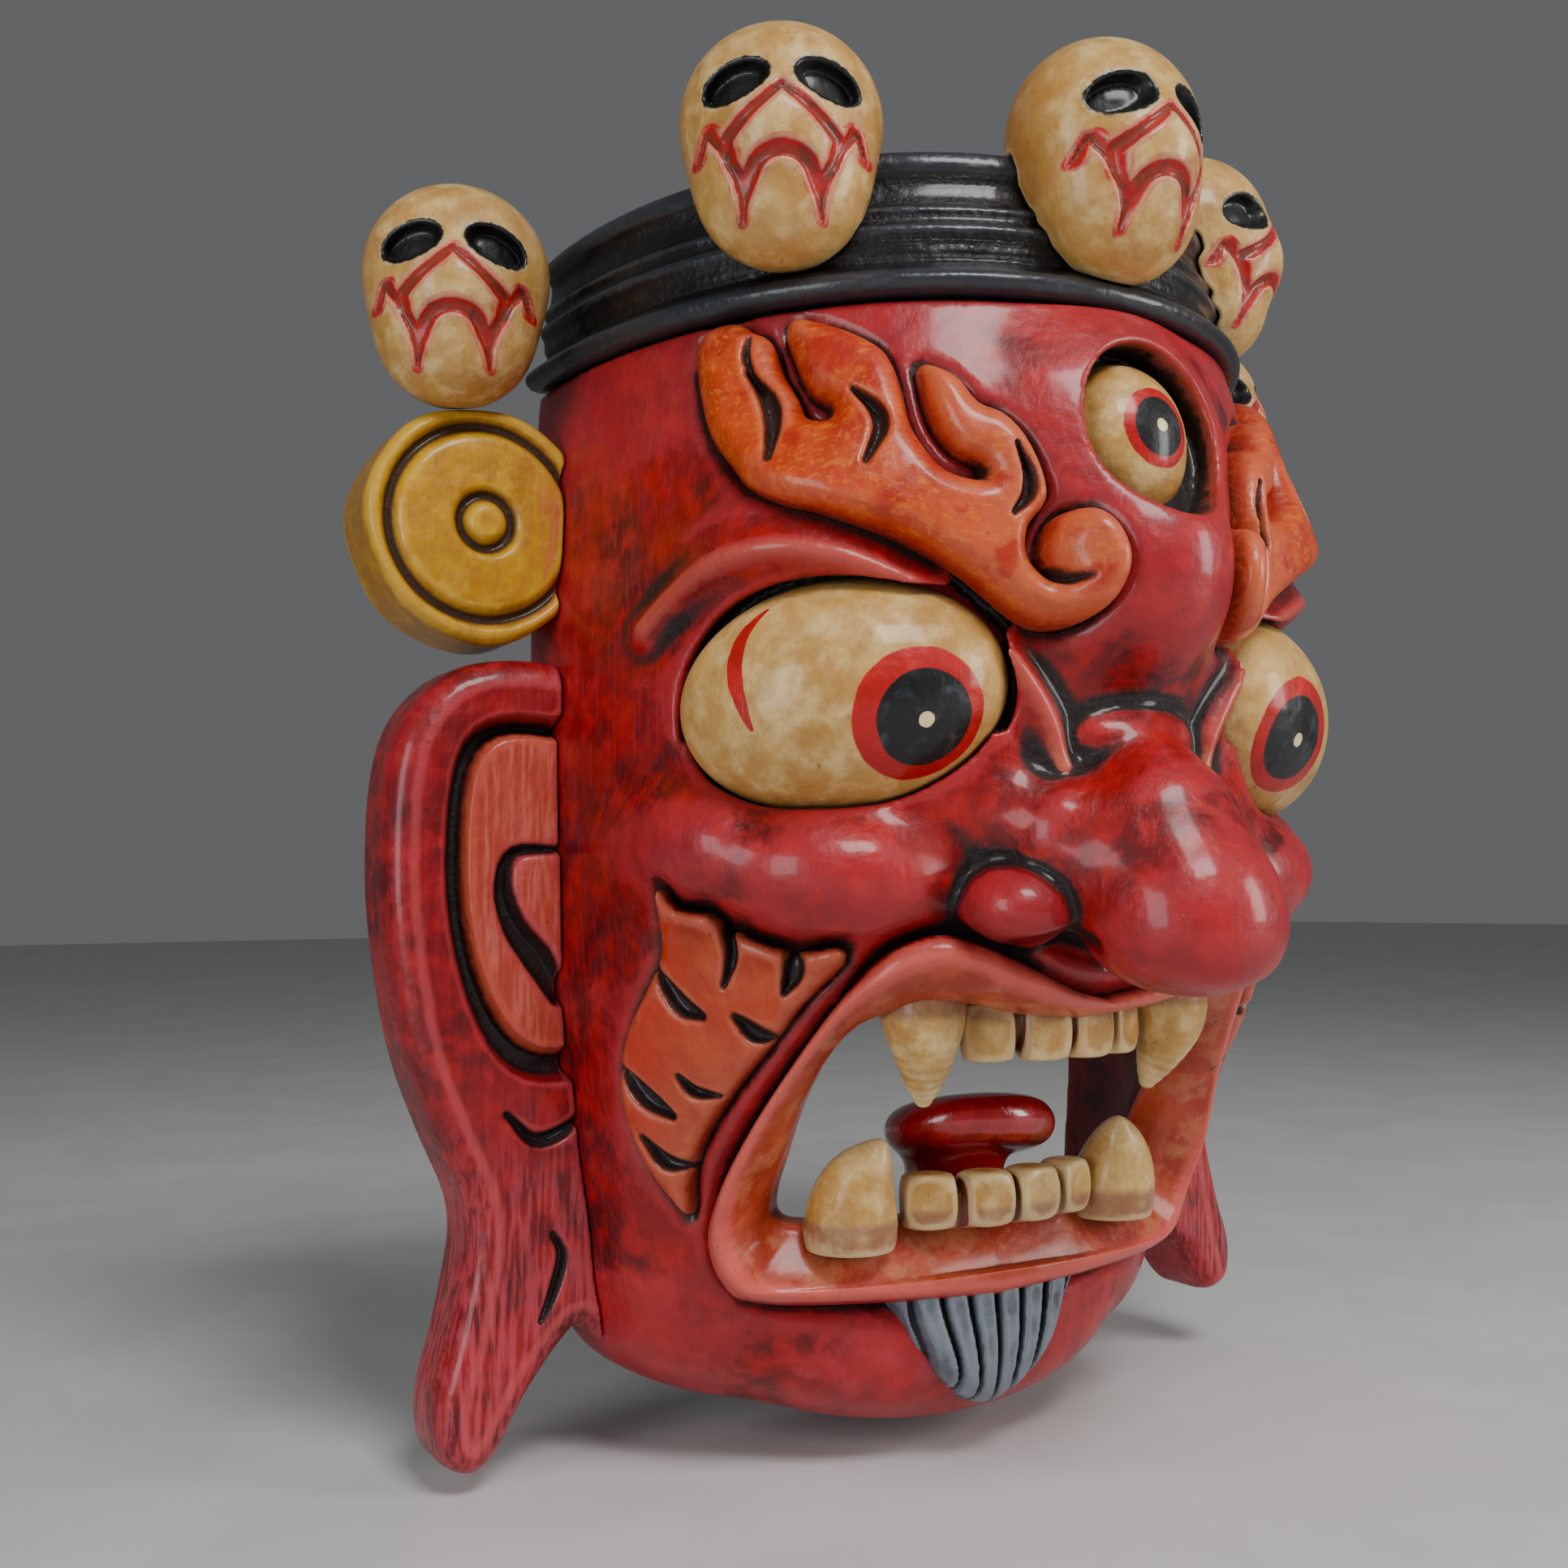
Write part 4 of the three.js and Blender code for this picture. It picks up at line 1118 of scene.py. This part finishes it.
def eye_extra(n, colour):
    colour = bone_mottle(n, colour)
    lines = n.noise(1.0, 4, 71, stretch=(0.1, 1, 1), turn=(0, -28, 0))
    colour = n.mix(n.times(n.step(lines, 0.5, 0.7), 0.3), colour, (0.50, 0.27, 0.07))
    # painted shade: the ball turns brown, then dark, towards where it meets the carving round its seat
    rim = n.step(n.calc("ADD", n.shaky("rim", 6, 2.2), n.times(n.noise(4, 4, 72), 5)), 9.5, 3.0)
    colour = n.mix(n.times(rim, 0.85), colour, (0.36, 0.15, 0.022))
    dark = n.step(n.shaky("rim", 3, 0.8), 2.4, 0.6)
    colour = n.mix(n.times(dark, 0.9), colour, (0.035, 0.014, 0.006))
    red = n.mix(n.step(n.noise(6, 4, 73), 0.4, 0.7), (0.38, 0.002, 0.002), (0.52, 0.005, 0.004))
    colour = n.mix(n.step(n.shaky("crescent", 3, 0.3), 0.2, -0.1), colour, red)
    colour = n.mix(n.step(n.shaky("iris", 6, 0.5), 0.15, -0.2), colour, red)
    ink = n.mix(n.step(n.noise(5, 5, 74), 0.5, 0.75), (0.004, 0.004, 0.005), (0.035, 0.040, 0.045))
    colour = n.mix(n.step(n.shaky("pupil", 6, 0.4), 0.15, -0.2), colour, ink)
    return n.mix(n.step(n.shaky("dot", 1.5, 0.2), 0.1, -0.15), colour, (0.78, 0.62, 0.34))


def tooth_extra(n, colour):
    colour = bone_mottle(n, colour)
    gap = n.step(n.shaky("gap", 2, 0.25), 1.1, 0.7)
    colour = n.mix(n.times(gap, 0.95), colour, (0.13, 0.003, 0.010))
    gum = n.step(n.shaky("root", 3, 0.8), 3.2, 0.6)
    return n.mix(n.times(gum, 0.55), colour, (0.16, 0.03, 0.05))


def disc_extra(n, colour):
    colour = n.mix(n.times(n.step(n.noise(5, 5, 81), 0.46, 0.66), 0.5), colour, (0.34, 0.15, 0.012))
    # painted shade: dark in the ring grooves
    ring = n.step(n.shaky("ring", 3, 0.6), 1.9, 0.5)
    colour = n.mix(n.times(ring, 0.88), colour, (0.055, 0.020, 0.006))
    scuff = n.noise(1.2, 4, 82, stretch=(1, 1, 0.12))
    near = n.times(n.step(n.shaky("near", 8, 4), 16, 2), n.step(scuff, 0.42, 0.6))
    colour = n.mix(n.times(near, 0.85), colour, (0.52, 0.10, 0.05))
    edge = n.step(n.shaky("out", 4, 1.2), 27.5, 31)
    return n.mix(n.times(edge, 0.6), colour, (0.20, 0.085, 0.012))


def beard_extra(n, colour):
    # painted shade: near black in the grooves between the ribs
    cut = n.step(n.shaky("cut", 2, 0.3), 1.0, 0.3)
    return n.mix(n.times(cut, 0.97), colour, (0.004, 0.004, 0.005))


def tongue_extra(n, colour):
    back = n.step(n.noise(7, 4, 91), 0.5, 0.7)
    return n.mix(n.times(back, 0.6), colour, (0.16, 0.003, 0.010))


def steel():
    n = Nodes("brushed_steel")
    wear = n.noise(0.8, 4, 95, stretch=(0.2, 1, 1))
    colour = n.mix(n.step(n.noise(3, 4, 96), 0.5, 0.7), (0.48, 0.47, 0.45), (0.24, 0.20, 0.16))
    n.put(n.shader.inputs["Base Color"], colour)
    n.put(n.shader.inputs["Roughness"], n.calc("MULTIPLY_ADD", wear, 0.3, 0.2))
    n.shader.inputs["Metallic"].default_value = 1.0
    n.bump([(0.03, wear), (0.05, n.noise(1.5, 3, 97))])
    return n.material


def floor_material():
    n = Nodes("pale_floor")
    colour = n.mix(n.step(n.noise(60, 4, 98), 0.4, 0.6), (0.60, 0.60, 0.59), (0.64, 0.64, 0.63))
    n.put(n.shader.inputs["Base Color"], colour)
    n.put(n.shader.inputs["Roughness"], n.calc("MULTIPLY_ADD", n.noise(8, 4, 99), 0.2, 0.55))
    return n.material


CREAM = dict(deep=(0.44, 0.22, 0.045), middle=(0.60, 0.36, 0.105), bright=(0.72, 0.50, 0.20),
             worn_and_sheen=(0.78, 0.60, 0.30))
# dark colour for pits, staining and painted shade in the hollows of the bone-white pieces
BONE_STAIN_AND_SHADE = (0.10, 0.040, 0.010)
PAINTS = {
    "face": paint("face_red", (0.090, 0.0008, 0.0025), (0.27, 0.0010, 0.0022), (0.45, 0.0024, 0.0016),
                  (0.44, 0.022, 0.030), face_extra),
    "crown": paint("crown_black", (0.003, 0.003, 0.004), (0.006, 0.006, 0.007), (0.014, 0.013, 0.013),
                   (0.045, 0.048, 0.058), wear=0.5, grime_and_shade=(0.002, 0.002, 0.002), gloss=(0.26, 0.46)),
    "skull": paint("skull_bone", extra=skull_extra, grime_and_shade=BONE_STAIN_AND_SHADE, dirt_and_shade=0.75, wear=0.4, rough_cut=0.3,
                   last=skull_last, **CREAM),
    "eye": paint("eye_bone", extra=eye_extra, grime_and_shade=BONE_STAIN_AND_SHADE, dirt_and_shade=0.8, wear=0.0, rough_cut=0.2,
                 **CREAM),
    "tooth": paint("tooth_bone", extra=tooth_extra, grime_and_shade=BONE_STAIN_AND_SHADE, dirt_and_shade=0.8, wear=0.5, rough_cut=0.3,
                   **CREAM),
    "brow": paint("brow_orange", (0.36, 0.020, 0.002), (0.52, 0.042, 0.003), (0.60, 0.075, 0.004),
                  (0.62, 0.12, 0.04), brow_extra, grime_and_shade=BROWN_SHADE_AND_STAIN),
    "flame": paint("whisker_orange", (0.30, 0.018, 0.004), (0.46, 0.040, 0.006), (0.52, 0.07, 0.014),
                   (0.56, 0.12, 0.06), whisker_extra, grime_and_shade=(0.016, 0.007, 0.008)),
    "lip": paint("lip_orange", (0.34, 0.026, 0.008), (0.44, 0.045, 0.012), (0.50, 0.07, 0.024),
                 (0.60, 0.11, 0.08), lip_extra, grime_and_shade=(0.028, 0.007, 0.005), dirt_and_shade=0.85),
    "ear": paint("ear_red", (0.090, 0.0012, 0.004), (0.25, 0.0018, 0.006), (0.40, 0.004, 0.006),
                 (0.45, 0.040, 0.05), ear_extra),
    "disc": paint("disc_ochre", (0.34, 0.14, 0.003), (0.50, 0.235, 0.004), (0.60, 0.32, 0.008),
                  (0.66, 0.38, 0.03), disc_extra, grime_and_shade=(0.05, 0.02, 0.006)),
    "beard": paint("beard_slate", (0.050, 0.062, 0.080), (0.085, 0.105, 0.135), (0.13, 0.155, 0.19),
                   (0.24, 0.27, 0.31), beard_extra, grime_and_shade=(0.004, 0.004, 0.005)),
    "tongue": paint("tongue_red", (0.22, 0.001, 0.004), (0.36, 0.002, 0.006), (0.46, 0.004, 0.010),
                    (0.5, 0.03, 0.045), tongue_extra, gloss=(0.12, 0.3), coat=1.0, wear=0.3),
}
STEEL = steel()

# ---------------------------------------------------------------- painted marks
AWAY = 50.0  # added to a mark's distance where the mark isn't painted
TEETH_UP = dict(centres=(-19.5, -6.6, 6.6, 19.5), front=-104.5, curve_back=0.013, root=-61, edge=-75.5,
                wide=12.6, thick=9)
TEETH_LOW = dict(centres=(-21.3, -7.1, 7.1, 21.3), front=-81.5, curve_back=0.010, root=-118, edge=-104.5,
                 wide=13.6, thick=10)
# root, bend and tip of a fang, its radius at the root, and the height of its gum line
FANGS = {
    "upper": ([(37.5, -94, -60), (37.5, -95, -69), (34.6, -90, -83.5)], 10.5, -60),
    "lower": ([(41, -67, -117), (41, -70, -107), (37.5, -75, -97)], 11.6, -118),
}
IRIS = (-56.5, -124.5, 1.5)
PUPIL = (-55.6, -124.7, 1.2)
IRIS_RADIUS, PUPIL_RADIUS, DOT_RADIUS = 15.6, 11.2, 1.9
THIRD_IRIS = (0.5, -138.5, 69.5)
CRESCENT = [(-80.5, -99, 27), (-85.5, -98, 21.5), (-88.5, -99, 14), (-88.5, -101, 6.5), (-86.5, -102.5, 0)]


def distance(p, centre):
    return np.sqrt(sum((a - b) ** 2 for a, b in zip(p, centre)))


def mark_eye(piece, p, hand):
    """Painted iris, pupil, glint and the red stroke near the outer corner."""
    q = (p[0] * -hand, p[1], p[2])
    mark(piece, "iris", distance(q, IRIS) - IRIS_RADIUS)
    mark(piece, "pupil", distance(q, PUPIL) - PUPIL_RADIUS)
    mark(piece, "dot", distance(q, PUPIL) - DOT_RADIUS)
    path = curve(CRESCENT, 4)
    mark(piece, "crescent", strand(q, path, taper(path, 2.0, 0.3)))
    folded = (np.abs(p[0]), p[1], p[2])
    # closeness to the carved face round the ball, which the paint browns and darkens as painted shade
    mark(piece, "rim", 6 - face_surface(folded) + head(folded))


def mark_third(piece, p):
    for name, radius in (("iris", 9.8), ("pupil", 7.2), ("dot", 1.6)):
        mark(piece, name, distance(p, THIRD_IRIS) - radius)
    mark(piece, "crescent", np.full(len(p[0]), AWAY))
    # closeness to the seat's wall, which the paint browns and darkens as painted shade
    mark(piece, "rim", 2.0 - third_recess(p) * 0.9)


def mark_face(piece, p):
    """Distances to the lid, to the gap over the eye, to the carved outlines and to the third seat."""
    q = (np.abs(p[0]), p[1], p[2])
    s, z = round_place(q)
    front = np.where(head(q) > -9, 0.0, AWAY)
    lid = strand((s, z), LID_LINE, [0.0] * len(LID_LINE))
    mark(piece, "lid", lid + front)
    # the gap over the eyeball, which the paint darkens as painted shade
    mark(piece, "gap", np.where(z > 2 - 0.14 * (s - 60), eye_ball(q, 1), AWAY) + front)
    # distance to the trenches round the reliefs, which the paint darkens as painted shade
    near = np.minimum(np.abs(outline(s, z, BROW_LINE)), np.abs(outline(s, z, WHISKER_LINE)))
    near = np.minimum(near, np.abs(outline(s, z, LIP_OUT_LINE)))
    mark(piece, "trench", near + front)
    mark(piece, "third", third_rim(p[0], z) + front)


def mark_relief(piece, p, line, cuts):
    s, z = round_place((np.abs(p[0]), p[1], p[2]))
    mark(piece, "inner", s)
    mark(piece, "edge", outline(s, z, line))
    best = None
    for points, wide in cuts:
        path = curve(points, 5)
        one = strand((s, z), path, taper(path, wide, 0.25))
        best = one if best is None else np.minimum(best, one)
    mark(piece, "cut", best)


def mark_lip(piece, p):
    s, z = round_place((np.abs(p[0]), p[1], p[2]))
    mark(piece, "edge", outline(s, z, LIP_EDGE_LINE))


def mark_ear(piece, p):
    u, z = np.abs(p[0]), p[2]
    mark(piece, "edge", outline(u, z, EAR_LINE))
    mark(piece, "well", outline(u, z, CONCHA_LINE))
    mark(piece, "panel", outline(u, z, PANEL_LINE))
    best = strand((u, z), TRAGUS_CUT, TRAGUS_CUT_WIDE)
    for points, wide in EAR_CUTS:
        path = curve(points, 4)
        best = np.minimum(best, strand((u, z), path, taper(path, wide, 0.25)))
    mark(piece, "cut", np.where(p[1] < -10, best, AWAY))


def mark_disc(piece, p):
    u, v = np.abs(p[0]) - DISC_CENTRE[0], p[2] - DISC_CENTRE[1]
    r = np.sqrt(u * u + v * v)
    front = np.where(p[1] < -12, 0.0, AWAY)
    mark(piece, "ring", np.minimum(np.abs(r - DISC_RING), np.abs(r - BOSS_RING - 0.3)) + front)
    mark(piece, "near", np.abs(p[0]) - 96.0)
    mark(piece, "out", r)


def mark_skull(piece, p, name):
    x, y, z, _ = skull_local(p, name)
    strokes, hole = skull_marks(x, z)
    behind = np.where(y > 3, AWAY, 0.0)
    mark(piece, "stroke", strokes + behind)
    mark(piece, "hole", hole + behind)
    mark(piece, "flare", outline(np.abs(x), z, FLARE) + behind)
    # how far towards the skull's sides and back, which the paint turns brown as painted shade
    mark(piece, "side", np.abs(x) + np.maximum(y, -6) + 0.2 * np.abs(z))


def mark_teeth(piece, p, plan):
    centres = plan["centres"]
    best = np.full(len(p[0]), AWAY)
    for a, b in zip(centres, centres[1:]):
        best = np.minimum(best, np.abs(p[0] - (a + b) / 2))
    mark(piece, "gap", best)
    mark(piece, "root", np.abs(p[2] - plan["root"]) - 3.0)


def mark_fang(piece, p, root):
    mark(piece, "gap", np.full(len(p[0]), AWAY))
    mark(piece, "root", np.abs(p[2] - root) - 2.0)


def mark_beard(piece, p):
    mark(piece, "cut", beard_groove(p[0], p[2]))


def build():
    """Every wooden piece in the place of its CAD node; the hanger keeps its CAD bodies."""
    def add(name, node, field, step, look, marks=None):
        piece = sculpt(name, node, field, step)
        piece.data.materials.clear()
        piece.data.materials.append(PAINTS[look])
        mark_hollows_and_ridges(piece)
        if marks:
            marks(piece, to_mask(mesh_points(piece.data)))

    add("carved_face", "face_shell", face_field, FINE, "face", mark_face)
    add("moulded_crown", "crown_block", crown_field, FINE, "crown")
    for name in SKULLS:
        add(f"carved_{name}", name, skull_field(name), SMALL, "skull",
            lambda piece, p, name=name: mark_skull(piece, p, name))
    for word, hand in (("left", -1), ("right", 1)):
        add(f"carved_brow_{word}", f"eyebrow_{word}", brow_field(hand), SMALL, "brow",
            lambda piece, p: mark_relief(piece, p, BROW_LINE, BROW_CUTS))
        add(f"carved_whisker_{word}", f"whisker_{word}", whisker_field(hand), SMALL, "flame",
            lambda piece, p: mark_relief(piece, p, WHISKER_LINE, WHISKER_CUTS))
        add(f"eyeball_{word}", f"eye_{word}", eye_field(hand), SMALL, "eye",
            lambda piece, p, hand=hand: mark_eye(piece, p, hand))
        add(f"turned_disc_{word}", f"ear_disc_{word}", disc_field(hand), SMALL, "disc",
            mark_disc)
        add(f"long_ear_{word}", f"ear_{word}", ear_field(hand), SMALL, "ear", mark_ear)
        for row, (points, wide, gum) in FANGS.items():
            path = [(hand * x, y, z) for x, y, z in points]
            add(f"fang_{row}_{word}", f"{row}_fang_{word}", fang_field(*path, wide), SMALL, "tooth",
                lambda piece, p, gum=gum: mark_fang(piece, p, gum))
    add("eyeball_third", "third_eye", third_eye_field, SMALL, "eye", mark_third)
    add("lips", "lip_rim", lip_field, SMALL, "lip", mark_lip)
    add("beard", "goatee", goatee_field, SMALL, "beard", mark_beard)
    add("teeth_upper", "upper_teeth", teeth_field(**TEETH_UP), SMALL, "tooth",
        lambda piece, p: mark_teeth(piece, p, TEETH_UP))
    add("teeth_lower", "lower_teeth", teeth_field(**TEETH_LOW), SMALL, "tooth",
        lambda piece, p: mark_teeth(piece, p, TEETH_LOW))
    add("tongue_slab", "tongue", tongue_field, SMALL, "tongue")
    for node in ("hanger_strap", "hanger_screw", "hanger_ring"):
        metal = bpy.data.objects.get(node)
        if metal:
            metal.data.materials.clear()
            metal.data.materials.append(STEEL)


build()

# ---------------------------------------------------------------- stage
CAMERA_PLACE = Vector((-252.3, -409.2, -36.3))  # in the mask's millimetres
CAMERA_AZIMUTH, CAMERA_ELEVATION, CAMERA_ROLL = -29.55, -4.0, -0.54  # degrees
CAMERA_LENS = 37.27
FLOOR_REACH = 6.0  # half the side of the floor, metres
FLOOR_DROP = 0.004  # the floor lies this far under the mask
# name: place from the middle of the mask, width and height, watts, colour
LIGHTS = {
    "key": ((-0.10, -0.75, 0.85), (0.45, 0.35), 10, (1, 1, 1)),
    "window": ((0.75, -0.75, 0.25), (0.30, 0.55), 6.5, (1, 0.98, 0.96)),
    "side": ((-0.95, -0.35, 0.15), (0.35, 0.6), 4.5, (0.94, 0.97, 1)),
}


def camera():
    data = bpy.data.cameras.new("camera")
    data.lens = CAMERA_LENS
    data.sensor_width = 36
    data.clip_start, data.clip_end = 0.01, 10
    eye = bpy.data.objects.new("camera", data)
    bpy.context.scene.collection.objects.link(eye)
    bpy.context.scene.camera = eye
    a, e = math.radians(CAMERA_AZIMUTH), math.radians(CAMERA_ELEVATION)
    back = Vector((math.sin(a) * math.cos(e), -math.cos(a) * math.cos(e), math.sin(e)))
    right = (-back).cross(Vector((0, 0, 1))).normalized()
    up = right.cross(-back)
    roll = math.radians(CAMERA_ROLL)
    rolled_right = math.cos(roll) * right + math.sin(roll) * up
    rolled_up = -math.sin(roll) * right + math.cos(roll) * up
    spin = Matrix((rolled_right, rolled_up, back)).transposed().to_4x4()
    place = CAMERA_PLACE * UNIT
    place.z += IRIS_HEIGHT
    eye.matrix_world = Matrix.Translation(place) @ spin


def area_light(name, place, target, size, power, colour):
    data = bpy.data.lights.new(name, "AREA")
    data.shape = "RECTANGLE"
    data.size, data.size_y = size
    data.energy = power
    data.color = colour
    lamp = bpy.data.objects.new(name, data)
    bpy.context.scene.collection.objects.link(lamp)
    lamp.location = place
    lamp.rotation_mode = "QUATERNION"
    lamp.rotation_quaternion = (Vector(target) - Vector(place)).to_track_quat("-Z", "Y")


def stage():
    floor_mesh = bpy.data.meshes.new("floor")
    level = cad_low.z - FLOOR_DROP
    corners = [(x * FLOOR_REACH, y * FLOOR_REACH, level) for x, y in ((-1, -1), (1, -1), (1, 1), (-1, 1))]
    floor_mesh.from_pydata(corners, [], [(0, 1, 2, 3)])
    floor = bpy.data.objects.new("floor", floor_mesh)
    bpy.context.scene.collection.objects.link(floor)
    floor_mesh.materials.append(floor_material())
    world = bpy.data.worlds.new("world")
    world.use_nodes = True
    world.node_tree.nodes["Background"].inputs["Color"].default_value = (0.9, 0.92, 0.95, 1)
    world.node_tree.nodes["Background"].inputs["Strength"].default_value = 0.14
    bpy.context.scene.world = world
    middle = (cad_low + cad_high) / 2
    for name, (offset, size, power, colour) in LIGHTS.items():
        area_light(name, middle + Vector(offset), middle, size, power, colour)


camera()
stage()
